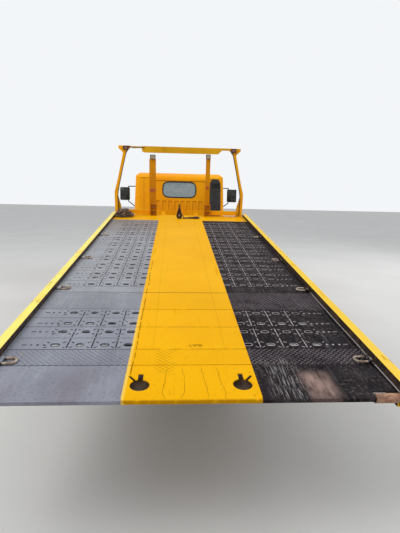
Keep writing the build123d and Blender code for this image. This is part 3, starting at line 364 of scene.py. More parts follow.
def body_paint(name, color, deep, on_bed=False, chips=0.7, dust=0.2, inner=None):
    """Sprayed yellow with faded patches, run-down dirt, rubbed edges, a few chips, and maybe painted shade on the
    inner faces.
    """
    f = Finish(name, on_bed=on_bed, specular_ior_level=0.14)
    color = f.mix(f.noise(1.3, 0.35, 0.7), color, deep)
    color = f.mix(f.noise(7, 0.45, 0.75, twist=0.6), color, deep, 0.35)
    runs = f.noise(9, 0.58, 0.8, stretch=(1, 1, 0.09), detail=6)
    color = f.mix(runs, color, (112, 72, 14), dust)
    low_dust = f.all_of(f.ramp("Z", 1.1, 0.3), f.noise(5, 0.3, 0.75, detail=7))
    color = f.mix(low_dust, color, (128, 110, 84), 0.0 if on_bed else 0.45)
    worn = f.all_of(f.edges(0.003), f.noise(22, 0.6, 0.68, detail=6), 0.6)
    chipped = f.most_of(f.noise(34, chips, chips + 0.02, detail=8, twist=0.4), worn)
    color = f.mix(chipped, color, (104, 58, 20))
    # Painted shade: the faces that look towards the truck's middle take the inner colour
    if inner:
        color = f.mix(f.all_of(f.facing_in(), f.noise(20, 0.1, 0.35, detail=6)), color, inner)
    f.relief((f.noise(2.5), 0.004), (f.noise(160, detail=2), 0.0003), (chipped, -0.0006))
    return f.done(color, f.blend(f.most_of(runs, chipped), 0.42, 0.75))


def rail_paint():
    """Side rails: a painted highlight pales the top of the left one, the right one is fresh yellow, and painted
    shade darkens the faces beside the deck.
    """
    f = Finish("rail_yellow_paint", on_bed=True, specular_ior_level=0.14)
    # Painted highlight: the left rail's top is paler than the right's
    color = f.mix(f.ramp("X", -0.2, 0.2), (246, 226, 112), (242, 198, 14))
    color = f.mix(f.noise(5, 0.45, 0.75, detail=6), color, (236, 182, 14), 0.5)
    rubbed = f.noise(40, 0.6, 0.7, stretch=(1, 0.12, 1), detail=7)
    color = f.mix(rubbed, color, (150, 112, 40), 0.5)
    # Painted shade on the faces beside the deck, near black with brown patches
    inner_face_shade = f.mix(f.noise(26, 0.35, 0.7, detail=7), (34, 30, 32), (78, 58, 44))
    color = f.mix(f.all_of(f.facing_in(), f.noise(14, 0.12, 0.3, detail=6)), color, inner_face_shade)
    f.relief((f.noise(3, detail=3), 0.003), (rubbed, -0.0004), (f.noise(120, detail=3), 0.0003))
    return f.done(color, f.blend(rubbed, 0.42, 0.75))


def strip_paint():
    """Brush-painted centre strip: weld seams, long scuffs, hairlines along the bed and rubbed-through tread."""
    f = Finish("strip_yellow_paint", on_bed=True, specular_ior_level=0.03)
    color = f.mix(f.noise(1.1, 0.35, 0.7), (240, 176, 2), (232, 166, 0))
    color = f.mix(f.noise(6, 0.5, 0.8, twist=1.0), color, (244, 186, 8), 0.4)
    left_edge = f.all_of(f.between("X", -0.36, -0.338, 0.004), f.ramp("Y", 2.2, 0.2))
    color = f.mix(left_edge, color, (250, 218, 110), 0.6)
    scuffs = f.noise(26, 0.62, 0.74, stretch=(1, 0.06, 1), detail=7)
    color = f.mix(scuffs, color, (198, 134, 12), 0.4)
    seams = f.all_of(f.lines("Y", DECK_SEAMS[:4], 0.0026), f.noise(16, 0.34, 0.46))
    edge_line = f.all_of(f.lines("X", (-0.324,), 0.0026, wave=0.006), f.between("Y", 0.24, 2.4),
                         f.noise(9, 0.38, 0.5))
    pressed = f.all_of(f.lines("X", (-0.22, 0.22), 0.0022), f.between("Y", 0.5, PLATE_END))
    hairs = f.all_of(f.lines("X", (-0.14, -0.055, 0.065, 0.15), 0.0016, wave=0.035),
                     f.between("Y", 0.02, 0.3, 0.04))
    diamonds = f.lozenges(*DIAMONDS)
    rubbed = f.all_of(diamonds, f.between("X", -0.2, -0.08, 0.03), f.between("Y", 0.24, 0.53, 0.05),
                      f.noise(8, 0.4, 0.55, detail=6))
    tail_edge = f.all_of(f.ramp("Y", 0.016, 0.002), f.noise(20, 0.3, 0.5, detail=6))
    flaked = f.all_of(f.between("X", 0.0, 0.085, 0.012), f.between("Y", 0.545, 0.572, 0.008),
                      f.noise(34, 0.44, 0.5))
    chips = f.most_of(f.noise(40, 0.72, 0.735, detail=8, twist=0.6), flaked,
                      f.all_of(f.noise(75, 0.665, 0.7, detail=3), f.ramp("Y", 1.7, 0.2)))
    shares = ((seams, 0.75), (pressed, 0.22), (hairs, 0.6), (rubbed, 0.45), (tail_edge, 0.55), (chips, 0.8))
    dark = f.most_of(edge_line, *(f.all_of(mask, share) for mask, share in shares))
    color = f.mix(dark, color, (112, 64, 8), 0.85)
    color = f.mix(f.lines("Y", (JOINT_U,), 0.0034), color, (70, 42, 8))
    tread = f.all_of(diamonds, f.most_of(f.between("Y", 0.33, 0.52), f.between("Y", 1.12, 1.48)))
    f.relief((f.noise(3.2), 0.003), (tread, 0.0012), (f.noise(70, detail=5), 0.0005), (dark, -0.0009))
    return f.done(color, f.blend(f.most_of(scuffs, dark), 0.42, 0.72))


def deck_finish():
    """Worn steel deck: pale blue-grey on the left from a painted sky sheen, near black on the right, streaked and
    scratched along the bed.
    """
    f = Finish("deck_worn_steel_painted_sheen", on_bed=True, specular_ior_level=0.03)
    right = f.ramp(f.math("ADD", f.axes["X"], f.all_of(f.noise(1.4), 0.2)), -0.15, 0.35)
    forward, end = f.ramp("Y", 0.3, 2.2), f.ramp("Y", 3.2, 4.9)
    # Painted sky sheen: the left plates take the pale colours and the right ones the dark
    pale = f.mix(end, f.mix(forward, (145, 148, 158), (162, 163, 168)), (150, 138, 130))
    dark = f.mix(end, f.mix(forward, (14, 12, 16), (28, 22, 23)), (24, 17, 14))
    color = f.mix(right, pale, dark)
    color = f.mix(f.noise(3.5, 0.3, 0.72, stretch=(1, 0.45, 1), detail=5), color, (46, 41, 46), 0.22)
    streaks = f.all_of(f.noise(34, 0.5, 0.76, stretch=(1, 0.08, 1), detail=6), f.blend(right, 0.2, 0.07))
    color = f.mix(streaks, color, (186, 178, 182))
    flecks = f.all_of(f.noise(58, 0.52, 0.66, detail=7), f.noise(6, 0.3, 0.6), f.blend(right, 0.4, 0.6))
    color = f.mix(flecks, color, f.mix(right, (86, 80, 86), (104, 86, 84)))
    pink = f.all_of(f.ramp("Y", 0.5, 0.1), f.noise(4, 0.4, 0.7, stretch=(1, 0.3, 1)))
    color = f.mix(pink, color, f.mix(right, (112, 98, 106), (52, 40, 44)), 0.4)
    scratches = f.all_of(f.noise(190, 0.5, 0.64, stretch=(1, 0.05, 1), detail=6),
                         f.between("X", 0.42, 0.6, 0.05), f.between("Y", 0.0, 0.4, 0.05))
    rubs = f.all_of(f.noise(70, 0.63, 0.7, stretch=(1, 0.03, 1), detail=6), f.noise(2.2, 0.45, 0.65), 0.5)
    color = f.mix(f.most_of(scratches, rubs), color, (190, 184, 182), 0.48)
    patch = f.all_of(f.between("Y", 0.01, 0.24, 0.05), f.between("X", 0.61, 0.75, 0.045),
                     f.noise(22, 0.22, 0.6, stretch=(1, 0.3, 1), detail=9))
    color = f.mix(patch, color, (164, 136, 126), 0.85)
    foot = f.all_of(f.lines("X", (1.082,), 0.004, wave=0.003), f.between("Y", 0.03, 1.5))
    color = f.mix(foot, color, (196, 190, 184), 0.7)
    seams = f.lines("Y", DECK_SEAMS + (JOINT_U,), 0.003)
    mids = f.lines("Y", [start + 0.147 for start in PRESSED_STARTS] + PRESSED_STARTS[3:], 0.0026)
    color = f.mix(f.most_of(seams, mids), color, f.mix(right, (46, 44, 50), (20, 16, 20)), 0.85)
    tread = f.all_of(f.lozenges(*DIAMONDS), f.most_of(f.between("Y", 0.33, 0.513, 0.004),
                                                      f.between("Y", 1.125, 1.48, 0.004)))
    color = f.mix(f.all_of(tread, f.noise(9, 0.25, 0.5)), color,
                  f.mix(right, (84, 82, 90), (136, 124, 130)), 0.5)
    f.relief((f.noise(2.4), 0.003), (tread, 0.0014), (f.noise(90, detail=6), 0.0006), (seams, -0.001))
    return f.done(color, f.math("ADD", 0.42, f.all_of(f.noise(11, 0.3, 0.75, detail=7), 0.25)), 0.1)


def tread_mark_finish():
    """Pressed marks: dark on the left plates, dirt with painted shade; pale on the dark right ones, rubbing with a
    painted highlight.
    """
    f = Finish("deck_pressed_marks", on_bed=True, specular_ior_level=0.06)
    right = f.ramp("X", -0.3, 0.3)
    # Painted shade on the left plates' marks and painted highlight on the right ones, over dirt and rubbing
    color = f.mix(right, (30, 28, 34), (168, 158, 160))
    color = f.mix(f.noise(4, 0.5, 0.72, detail=5), color, (96, 90, 96), 0.6)
    color = f.mix(f.noise(38, 0.56, 0.66), color, f.mix(right, (190, 190, 194), (54, 46, 50)), 0.75)
    f.relief((f.noise(110, detail=4), 0.0005),)
    return f.done(color, f.blend(f.noise(20), 0.4, 0.65), 0.1)


def bed_lamp_finish():
    """Lamps on the gantry: dark red lenses with a pale middle at the corners, clear ones on the inner posts."""
    f = Finish("gantry_lamp_lens", on_bed=True, coat_weight=0.5, coat_roughness=0.08)
    middle = f.all_of(f.lines("X", (-0.9005, 0.8645), 0.02), f.lines("Z", (1.105,), 0.012))
    red = f.mix(middle, f.mix(f.noise(30, 0.3, 0.7), (96, 22, 16), (60, 12, 10)), (150, 104, 96))
    clear = f.mix(f.noise(14, 0.3, 0.75), (178, 168, 144), (156, 142, 112))
    f.relief((f.flutes(90.0), 0.001),)
    corners = f.ramp(f.math("ABSOLUTE", f.axes["X"]), 0.62, 0.66)
    return f.done(f.mix(corners, clear, red), f.blend(f.noise(25, 0.4, 0.8), 0.15, 0.35))


def black_paint(name, on_bed=False):
    """Satin black under road dust, rubbed to rust on its edges."""
    f = Finish(name, on_bed=on_bed)
    color = f.mix(f.noise(6, 0.35, 0.7), (34, 34, 37), (48, 47, 48))
    settled = f.all_of(f.ramp(f.normal("Z"), 0.2, 1.0), f.noise(9, 0.3, 0.7, detail=7))
    thrown = f.all_of(f.noise(14, 0.5, 0.78, detail=8), 0.6)
    color = f.mix(f.most_of(settled, thrown), color, (122, 108, 88), 0.5)
    rust = f.most_of(f.all_of(f.edges(0.005), f.noise(18, 0.45, 0.6, detail=6)),
                     f.noise(21, 0.68, 0.72, detail=8))
    f.relief((f.noise(120, detail=3), 0.0004), (rust, 0.0005))
    return f.done(f.mix(rust, color, (98, 58, 36), 0.8), f.blend(f.most_of(settled, rust), 0.42, 0.85))


def rust_finish(name, pale, dark, on_bed=False):
    """Bare steel gone brown, flaky, with paler rubbed places."""
    f = Finish(name, on_bed=on_bed)
    color = f.mix(f.noise(26, 0.35, 0.68, detail=8, twist=0.5), dark, pale)
    color = f.mix(f.noise(9, 0.5, 0.72), color, (48, 38, 34), 0.5)
    color = f.mix(f.edges(0.003), color, (176, 160, 148), 0.4)
    f.relief((f.noise(85, detail=8), 0.0012), (f.cells(140), 0.0004))
    return f.done(color, f.blend(f.noise(30), 0.6, 0.9), 0.3)


def wheel_finish():
    """Silver wheel paint with brake dust and rust round the holes."""
    f = Finish("wheel_silver_paint", coat_weight=0.1)
    color = f.mix(f.noise(8, 0.35, 0.7), (176, 178, 182), (140, 140, 142))
    color = f.mix(f.noise(14, 0.4, 0.75, detail=8), color, (104, 90, 72), 0.55)
    rust = f.most_of(f.all_of(f.edges(0.004), f.noise(30, 0.45, 0.58)), f.noise(46, 0.66, 0.7, detail=7))
    f.relief((f.noise(150, detail=2), 0.0003), (rust, 0.0004))
    return f.done(f.mix(rust, color, (112, 66, 40)), f.blend(rust, 0.38, 0.8), 0.35)


def rubber_finish():
    """Tyre rubber with patches of grey road dust."""
    f = Finish("tyre_dusty_rubber")
    color = f.mix(f.noise(10, 0.35, 0.7, detail=7), (32, 32, 34), (52, 51, 50))
    color = f.mix(f.noise(24, 0.45, 0.75, detail=8), color, (112, 104, 92), 0.5)
    f.relief((f.noise(220, detail=3), 0.0003), (f.noise(30), 0.0006))
    return f.done(color, f.blend(f.noise(18), 0.72, 0.92))


def plain_finish(name, light, dark, rough, grain, metallic=None):
    """Moulded or cast surface with a fine grain and slight change of colour."""
    f = Finish(name)
    color = f.mix(f.noise(9, 0.3, 0.7, detail=6), light, dark)
    color = f.mix(f.noise(28, 0.55, 0.75, detail=8), color, (110, 100, 86), 0.3)
    f.relief((f.noise(grain, detail=3), 0.0004),)
    return f.done(color, f.blend(f.noise(14), *rough), metallic)


def glass_finish():
    """Tinted safety glass with a film of dust wiped in slanting sweeps."""
    f = Finish("cab_tinted_glass", transmission_weight=0.8, IOR=1.45)
    film = f.most_of(f.noise(6, 0.35, 0.8, detail=7), f.noise(2.2, 0.5, 0.62, stretch=(0.8, 1, 3.2), twist=0.8))
    f.relief((f.noise(3), 0.0006),)
    return f.done(f.mix(film, (186, 198, 200), (226, 226, 222), 0.5), f.blend(film, 0.02, 0.16))


def lens_finish(name, clear, deep, pitch):
    """Moulded lens with fine upright flutes."""
    f = Finish(name, transmission_weight=0.25, coat_weight=0.8, coat_roughness=0.06)
    f.relief((f.flutes(pitch), 0.0012), (f.noise(60), 0.0003))
    return f.done(f.mix(f.noise(30, 0.3, 0.7), clear, deep), f.blend(f.noise(25, 0.4, 0.8), 0.12, 0.3))


def cloth_finish():
    """Woven cloth of two greys for the seats, with a fine nap and dusty rubbed places."""
    f = Finish("seat_woven_cloth", specular_ior_level=0.1, sheen_weight=0.3)
    weave = f.ramp(f.cells(420), 0.1, 0.6)
    threads = f.noise(300, 0.35, 0.65, stretch=(1, 0.3, 0.3), detail=2)
    color = f.mix(f.all_of(weave, threads), (58, 60, 66), (88, 90, 96))
    color = f.mix(f.noise(7, 0.45, 0.75), color, (98, 90, 78), 0.4)
    f.relief((weave, 0.0005), (f.noise(12), 0.002))
    return f.done(color, f.blend(f.noise(20), 0.8, 0.95))


def make_materials():
    """Every finish on the truck, by a plain name."""
    made = {"rail": rail_paint(), "strip": strip_paint(), "deck": deck_finish(), "marks": tread_mark_finish(),
            "bed_lamps": bed_lamp_finish(), "wheel": wheel_finish(), "rubber": rubber_finish(),
            "glass": glass_finish(), "cloth": cloth_finish()}
    for maker, table in ((body_paint, PAINTS), (black_paint, BLACKS), (rust_finish, RUSTS),
                         (lens_finish, LENSES), (plain_finish, PLAINS)):
        made.update({key: maker(*row) for key, row in table.items()})
    return made


def corners_matrix(low, high):
    """Matrix that turns the unit cube into the block between two corners."""
    low, high = Vector(low), Vector(high)
    return Matrix.Translation((low + high) / 2) @ Matrix.Diagonal((*(high - low), 1))


def add_block(bm, low, high, soft=0.0):
    """Block between two corners, its edges rounded by soft."""
    made = bmesh.ops.create_cube(bm, size=1, matrix=corners_matrix(low, high))["verts"]
    if soft:
        edges = list({edge for vert in made for edge in vert.link_edges})
        bmesh.ops.bevel(bm, geom=edges, offset=soft, offset_type="OFFSET", affect="EDGES", segments=2,
                        profile=0.5, material=-1)


def toward(direction):
    """Rotation that turns +Z to a direction."""
    return Vector(direction).to_track_quat("Z", "Y").to_matrix().to_4x4()


def add_bar(bm, start, end, radius, segments=8, tip=None):
    """Round bar or cone between two points."""
    start, end = Vector(start), Vector(end)
    bmesh.ops.create_cone(bm, cap_ends=True, segments=segments, radius1=radius,
                          radius2=radius if tip is None else tip, depth=(end - start).length,
                          matrix=Matrix.Translation((start + end) / 2) @ toward(end - start))


def add_hex(bm, at, direction, radius, high):
    """Hexagon bolt head or nut standing on a surface, with its washer and stud."""
    at, way = Vector(at), Vector(direction).normalized()
    add_bar(bm, at, at + way * high * 0.2, radius * 1.25, 12)
    add_bar(bm, at, at + way * high, radius, 6)
    add_bar(bm, at, at + way * high * 1.3, radius * 0.5)


def poured(bm, other, place=None):
    """Puts a second bmesh into the first, moved to its place."""
    mesh = bpy.data.meshes.new("poured")
    if place is not None:
        bmesh.ops.transform(other, matrix=place, verts=other.verts)
    other.to_mesh(mesh)
    other.free()
    bm.from_mesh(mesh)
    bpy.data.meshes.remove(mesh)


def spun(turning, geom, steps):
    """Turns a line all the way round +Z and closes it."""
    bmesh.ops.spin(turning, geom=geom, cent=(0, 0, 0), axis=(0, 0, 1), angle=FULL_TURN, steps=steps,
                   use_merge=True)
    bmesh.ops.remove_doubles(turning, verts=turning.verts, dist=1e-6)


def add_turned(bm, profile, at, steps, axis=(1, 0, 0), closed=False):
    """Profile of (distance along the axis, radius) points turned all the way round."""
    turning = bmesh.new()
    verts = [turning.verts.new((radius, 0, along)) for along, radius in profile]
    pairs = list(zip(verts, verts[1:])) + ([(verts[-1], verts[0])] if closed else [])
    spun(turning, verts + [turning.edges.new(pair) for pair in pairs], steps)
    poured(bm, turning, Matrix.Translation(at) @ toward(axis))


def add_link(bm, at, long, wide, thick, around, ring, way=(1, 0, 0), flat=(0, 0, 1)):
    """Closed chain link: a ring drawn out along a way, lying square to flat."""
    way, up = Vector(way).normalized(), Vector(flat).normalized()
    side = up.cross(way).normalized()
    up = way.cross(side)
    turning = bmesh.new()
    section = Matrix.Translation(((wide - thick) / 2, 0, 0)) @ Matrix.Rotation(math.pi / 2, 4, "X")
    circle = bmesh.ops.create_circle(turning, segments=ring, radius=thick / 2, matrix=section)["verts"]
    spun(turning, circle + list({edge for vert in circle for edge in vert.link_edges}), around)
    for vert in turning.verts:
        vert.co.x += math.copysign((long - wide) / 2, vert.co.x) if abs(vert.co.x) > 1e-4 else 0.0
    poured(bm, turning, Matrix.Translation(at) @ Matrix((way, side, up)).transposed().to_4x4())


def finished(name, bm, finish, body):
    """Turns a bmesh into a named piece that rides on a body; the bed's pieces are modelled on its own axes."""
    if body == "bed":
        bmesh.ops.transform(bm, matrix=BED, verts=bm.verts)
    bmesh.ops.recalc_face_normals(bm, faces=bm.faces)
    mesh = bpy.data.meshes.new(name)
    bm.to_mesh(mesh)
    bm.free()
    mesh.materials.append(MATERIALS[finish])
    mesh.shade_smooth()
    mesh.set_sharp_from_angle(angle=SMOOTH_ANGLE)
    piece = bpy.data.objects.new(name, mesh)
    bpy.context.scene.collection.objects.link(piece)
    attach(piece, body)
    return piece


def built(name, rows, finish, body):
    """Piece made of rows, each the function that adds a part of it and that part's values."""
    bm = bmesh.new()
    for add, *values in rows:
        add(bm, *values)
    return finished(name, bm, finish, body)


def swept(name, points, radius, finish, body, closed=False):
    """Tube of one radius along a smooth line through control points."""
    curve = bpy.data.curves.new(name, "CURVE")
    curve.dimensions = "3D"
    curve.bevel_depth, curve.bevel_resolution, curve.use_fill_caps = radius, 3, True
    spline = curve.splines.new("NURBS")
    spline.points.add(len(points) - 1)
    for point, at in zip(spline.points, points):
        point.co = (*at, 1)
    spline.order_u, spline.use_cyclic_u, spline.use_endpoint_u = 3, closed, not closed
    spline.resolution_u = 6
    maker = bpy.data.objects.new(name + "_line", curve)
    mesh = bpy.data.meshes.new_from_object(maker)
    bpy.data.objects.remove(maker)
    bm = bmesh.new()
    bm.from_mesh(mesh)
    bpy.data.meshes.remove(mesh)
    bmesh.ops.remove_doubles(bm, verts=bm.verts, dist=1e-5)
    return finished(name, bm, finish, body)


def rounded_loop(corners, radius, steps=4):
    """Points round a polygon in a plane whose corners are rounded, for a closed line."""
    points = []
    for index in range(len(corners)):
        here, before, after = (Vector(corners[(index + shift) % len(corners)]) for shift in (0, -1, 1))
        start = here - (here - before).normalized() * radius
        end = here + (after - here).normalized() * radius
        shares = [step / steps for step in range(1, steps)]
        bend = [start.lerp(here, share).lerp(here.lerp(end, share), share) for share in shares]
        points += [(before + here) / 2, start, *bend, end]
    return points


def both_sides(x0, x1):
    """The span between two distances from the middle, on the left and on the right."""
    return [sorted((side * x0, side * x1)) for side in (-1, 1)]


class TowTruckSizes(bpy.types.PropertyGroup):
    """Sizes of the fittings that a user would change."""

    mark_high: bpy.props.FloatProperty(
        name="Mark height", description="Height of the pressed marks on the deck", default=0.0022, unit="LENGTH")
    block_count: bpy.props.IntProperty(
        name="Tread blocks", description="Tread blocks round each row of a tyre", default=46, min=12, max=90)
    groove_deep: bpy.props.FloatProperty(
        name="Groove depth", description="Depth of the tyre's grooves", default=0.009, unit="LENGTH")
    seal_radius: bpy.props.FloatProperty(
        name="Seal radius", description="Half width of the rubber seals round the windows", default=0.011,
        unit="LENGTH")
    link_count: bpy.props.IntProperty(
        name="Chain links", description="Links in the heap of chain on the front plate", default=170, min=10,
        max=400)


class TowTruckColours(bpy.types.PropertyGroup):
    """Colours of the floor and of the light."""

    floor_colour: bpy.props.FloatVectorProperty(
        name="Floor", description="Colour of the studio floor", size=4, subtype="COLOR",
        default=(0.66, 0.65, 0.63, 1))
    light_colour: bpy.props.FloatVectorProperty(
        name="Light", description="Colour of the soft light round the truck", size=4, subtype="COLOR",
        default=(0.93, 0.96, 1.0, 1))


def sizes():
    return bpy.context.scene.tow_truck_sizes


class TOWTRUCK_OT_stage(bpy.types.Operator):
    """Lays the floor, hangs the soft lights and sets the camera where the photo was taken"""

    bl_idname = "towtruck.stage"
    bl_label = "Stage and Camera"

    def execute(self, context):
        colours = context.scene.tow_truck_colours
        self.floor(context, tuple(colours.floor_colour))
        self.sky(context, tuple(colours.light_colour))
        for name, at, watts, size in LAMPS:
            lamp = bpy.data.lights.new(name, "AREA")
            lamp.energy, lamp.size = watts, size
            light = bpy.data.objects.new(name, lamp)
            light.location = at
            light.rotation_euler = (Vector((0, 0, 1)) - Vector(at)).to_track_quat("-Z", "Y").to_euler()
            context.scene.collection.objects.link(light)
        self.camera(context)
        context.scene.view_settings.view_transform = "Standard"
        return {"FINISHED"}

    def floor(self, context, light):
        bm = bmesh.new()
        bmesh.ops.create_grid(bm, x_segments=1, y_segments=1, size=60)
        mesh = bpy.data.meshes.new("studio_floor")
        bm.to_mesh(mesh)
        bm.free()
        floor = bpy.data.objects.new("studio_floor", mesh)
        context.scene.collection.objects.link(floor)
        f = Finish("studio_floor_paint")
        dark = (*(0.94 * channel for channel in light[:3]), 1)
        mesh.materials.append(f.done(f.mix(f.noise(0.7, 0.3, 0.7), light, dark), 0.85))

    def sky(self, context, light):
        """Soft light all round, and a pale backdrop where the sky itself shows."""
        world = bpy.data.worlds.new("soft_sky")
        context.scene.world = world
        world.use_nodes = True
        tree = world.node_tree
        sky = tree.nodes["Background"]
        sky.inputs["Color"].default_value, sky.inputs["Strength"].default_value = light, SKY_STRENGTH
        backdrop = add_node(tree, "ShaderNodeBackground", {"Color": BACKDROP, "Strength": 1.0})
        rays = add_node(tree, "ShaderNodeLightPath").outputs
        seen = rays["Is Camera Ray"]
        for kind in ("Is Glossy Ray", "Is Transmission Ray"):
            seen = add_node(tree, "ShaderNodeMath", {0: seen, 1: rays[kind]}, operation="MAXIMUM").outputs[0]
        choice = add_node(tree, "ShaderNodeMixShader", {0: seen, 1: sky.outputs[0], 2: backdrop.outputs[0]})
        tree.links.new(choice.outputs[0], tree.nodes["World Output"].inputs["Surface"])

    def camera(self, context):
        ahead = Vector((math.sin(CAMERA_YAW) * math.cos(CAMERA_PITCH),
                        math.cos(CAMERA_YAW) * math.cos(CAMERA_PITCH), -math.sin(CAMERA_PITCH)))
        level = Vector((math.cos(CAMERA_YAW), -math.sin(CAMERA_YAW), 0))
        above = level.cross(ahead)
        right = math.cos(CAMERA_ROLL) * level + math.sin(CAMERA_ROLL) * above
        up = math.cos(CAMERA_ROLL) * above - math.sin(CAMERA_ROLL) * level
        lens = bpy.data.cameras.new("photo_camera")
        lens.sensor_width = 36
        lens.lens = lens.sensor_width * FOCAL_PIXELS / max(IMAGE_WIDE, IMAGE_HIGH)
        camera = bpy.data.objects.new("photo_camera", lens)
        camera.matrix_world = Matrix.Translation(CAMERA_AT) @ Matrix((right, up, -ahead)).transposed().to_4x4()
        context.scene.collection.objects.link(camera)
        context.scene.camera = camera


class TOWTRUCK_OT_paint(bpy.types.Operator):
    """Gives every piece of the frame its worn finish"""

    bl_idname = "towtruck.paint"
    bl_label = "Paint the Frame"

    def execute(self, context):
        MATERIALS.update(make_materials())
        for finish, nodes in NODE_FINISH.items():
            for node in nodes.split():
                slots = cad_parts[node].data.materials
                slots.clear()
                slots.append(MATERIALS[finish])
        return {"FINISHED"}


class TOWTRUCK_OT_deck_marks(bpy.types.Operator):
    """Presses the anti-slip marks, hole rims and ribs into the deck plates and lays the weld beads"""

    bl_idname = "towtruck.deck_marks"
    bl_label = "Deck Marks"

    def execute(self, context):
        marks = bmesh.new()
        for side in (-1, 1):
            for start in PRESSED_STARTS:
                plate = bmesh.new()
                self.press_plate(plate, side, start, sizes().mark_high)
                poured(marks, plate)
        finished("deck_tread_marks", marks, "marks", "bed")
        beads = [(add_bar, (-STRIP_HALF, u, BEAD_N), (STRIP_HALF, u, BEAD_N), 0.0026) for u in DECK_SEAMS[:4]]
        beads += [(add_bar, (x, 0.02, BEAD_N), (x, PLATE_END, BEAD_N), 0.0032) for x in (-STRIP_HALF, STRIP_HALF)]
        built("deck_weld_beads", beads, "strip", "bed")
        return {"FINISHED"}

    def press_plate(self, bm, side, start, high):
        """One pressed plate on one side of the strip: ribs, hole rims and small raised marks."""
        for x in (side * rib for rib in RIB_PLACES):
            for near, far in ((0.018, 0.138), (0.158, 0.278)):
                add_block(bm, (x - 0.003, start + near, -0.001), (x + 0.003, start + far, high))
        for u in (start + row for row in HOLE_ROWS):
            for x in (side * place for place in HOLE_PLACES):
                add_link(bm, (x, u, 0), 0.058, 0.038, 0.0055, 12, 5)
                for turn, across, along in MARKS:
                    if abs(x + across) >= STRIP_HALF + 0.012:
                        at = Vector((x + across, u + along, 0))
                        way = Vector((math.cos(MARK_SLANT), turn * math.sin(MARK_SLANT), 0)) * MARK_HALF
                        add_bar(bm, at - way, at + way, 0.003, 6)
            for place in (0.885, 0.925, 0.965):
                add_bar(bm, (side * place, u, 0), (side * place, u, high), 0.009, tip=0.004)
            add_bar(bm, (side * 0.99, u, 0), (side * 1.02, u, 0), 0.003, 6)


class TOWTRUCK_OT_bed_fittings(bpy.types.Operator):
    """Adds the deck's rings, the gantry's wiring, lamp rims and bolts, and the reflective band"""

    bl_idname = "towtruck.bed_fittings"
    bl_label = "Bed Fittings"

    def execute(self, context):
        places = [(u, side) for u in RING_ROWS for side in (-1, 1)]
        rings = [(add_link, (side * 1.027, u, 0.0095), 0.114, 0.072, 0.014, 20, 8) for u, side in places]
        links = built("tie_ring_links", rings, "ring", "bed")
        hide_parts("tie_down_rings")
        # Columns: near and far edge from the ring's row, low edge, rounding
        parts = ((-0.04, -0.03, 0.0, 0.002), (0.03, 0.04, 0.0, 0.002), (-0.04, 0.04, 0.0132, 0.0015))
        straps = [(add_block, (side * 1.057 - 0.011, u + near, n), (side * 1.057 + 0.011, u + far, 0.019), soft)
                  for u, side in places for near, far, n, soft in parts]
        built("tie_ring_straps", straps, "deck", "bed")
        self.lamp_rims()
        self.gantry_details()
        self.wires()
        # Dark plates under the keyholes: painted shade for the shaded ground seen through them
        shade_plates = [(add_block, (x - 0.075, 0.075, -0.042), (x + 0.075, 0.255, -0.036), 0.002)
                 for x in (-0.27, 0.27)]
        built("keyhole_shade_plates", shade_plates, "well", "bed")
        return {"FINISHED"}

    def lamp_rims(self):
        rims = []
        for x0, x1, n0, n1, u in GANTRY_LAMPS:
            low, high = n0 + LAMP_RIM, n1 - LAMP_RIM
            edges = ((x0, x1, n0, low), (x0, x1, high, n1), (x0, x0 + LAMP_RIM, low, high),
                     (x1 - LAMP_RIM, x1, low, high))
            rims += [(add_block, (a0, u - 0.004, b0), (a1, u + 0.014, b1), 0.0015) for a0, a1, b0, b1 in edges]
        built("corner_lamp_rims", rims, "trim", "bed")

    def gantry_details(self):
        bolts = [(add_hex, (GANTRY_X + side * 1.008, u, 0.012), (0, 0, 1), 0.009, 0.009)
                 for side in (-1, 1) for u in (5.172, 5.198)]
        bolts += [(add_hex, (x, 5.197, n), (0, -1, 0), 0.009, 0.008)
                  for x in (-0.478, -0.437, 0.440, 0.480) for n in (0.05, 0.148)]
        built("gantry_bolts", bolts, "zinc", "bed")
        bands = [(add_block, (-0.524, 5.2015, 0.395), (-0.418, 5.2055, 0.453), 0.001),
                 (add_block, (0.421, 5.2015, 0.463), (0.491, 5.2055, 0.515), 0.001)]
        built("reflective_bands", bands, "band", "bed")
        marks = [(add_block, (-0.515, 5.199, 0.428), (-0.427, 5.2025, 0.437), 0.001),
                 (add_bar, (0.452, 5.2025, 0.492), (0.452, 5.198, 0.492), 0.013, 16)]
        built("reflector_marks", marks, "red_line", "bed")

    def wires(self):
        """Lamp wires down the posts' inner edges, and one along the beam; the post wires also give the dark line of
        painted shade on the posts' inner faces.
        """
        ends = ((0.86, 5.168, 1.072), (0.87, 5.17, 1.045)), ((1.03, 5.165, 0.012), (1.0, 5.16, 0.007))
        down = [*ends[0], *((x - 0.004, 5.17, n) for n, x in POST_EDGE), *ends[1]]
        # The black wires down the posts also stand for painted shade on their inner faces
        for side, name in ((-1, "left"), (1, "right")):
            line = [(GANTRY_X + side * x, u, n) for x, u, n in down]
            swept("lamp_wire_and_shade_" + name, line, WIRE_R, "trim", "bed")
        line = [(-0.86, 5.165, 1.135), (-0.82, 5.171, 1.112), (-0.77, 5.17, 1.104), (-0.71, 5.17, 1.112),
                (-0.66, 5.17, 1.108), (-0.6, 5.17, 1.116)]
        swept("beam_wire", line, WIRE_R, "trim", "bed")


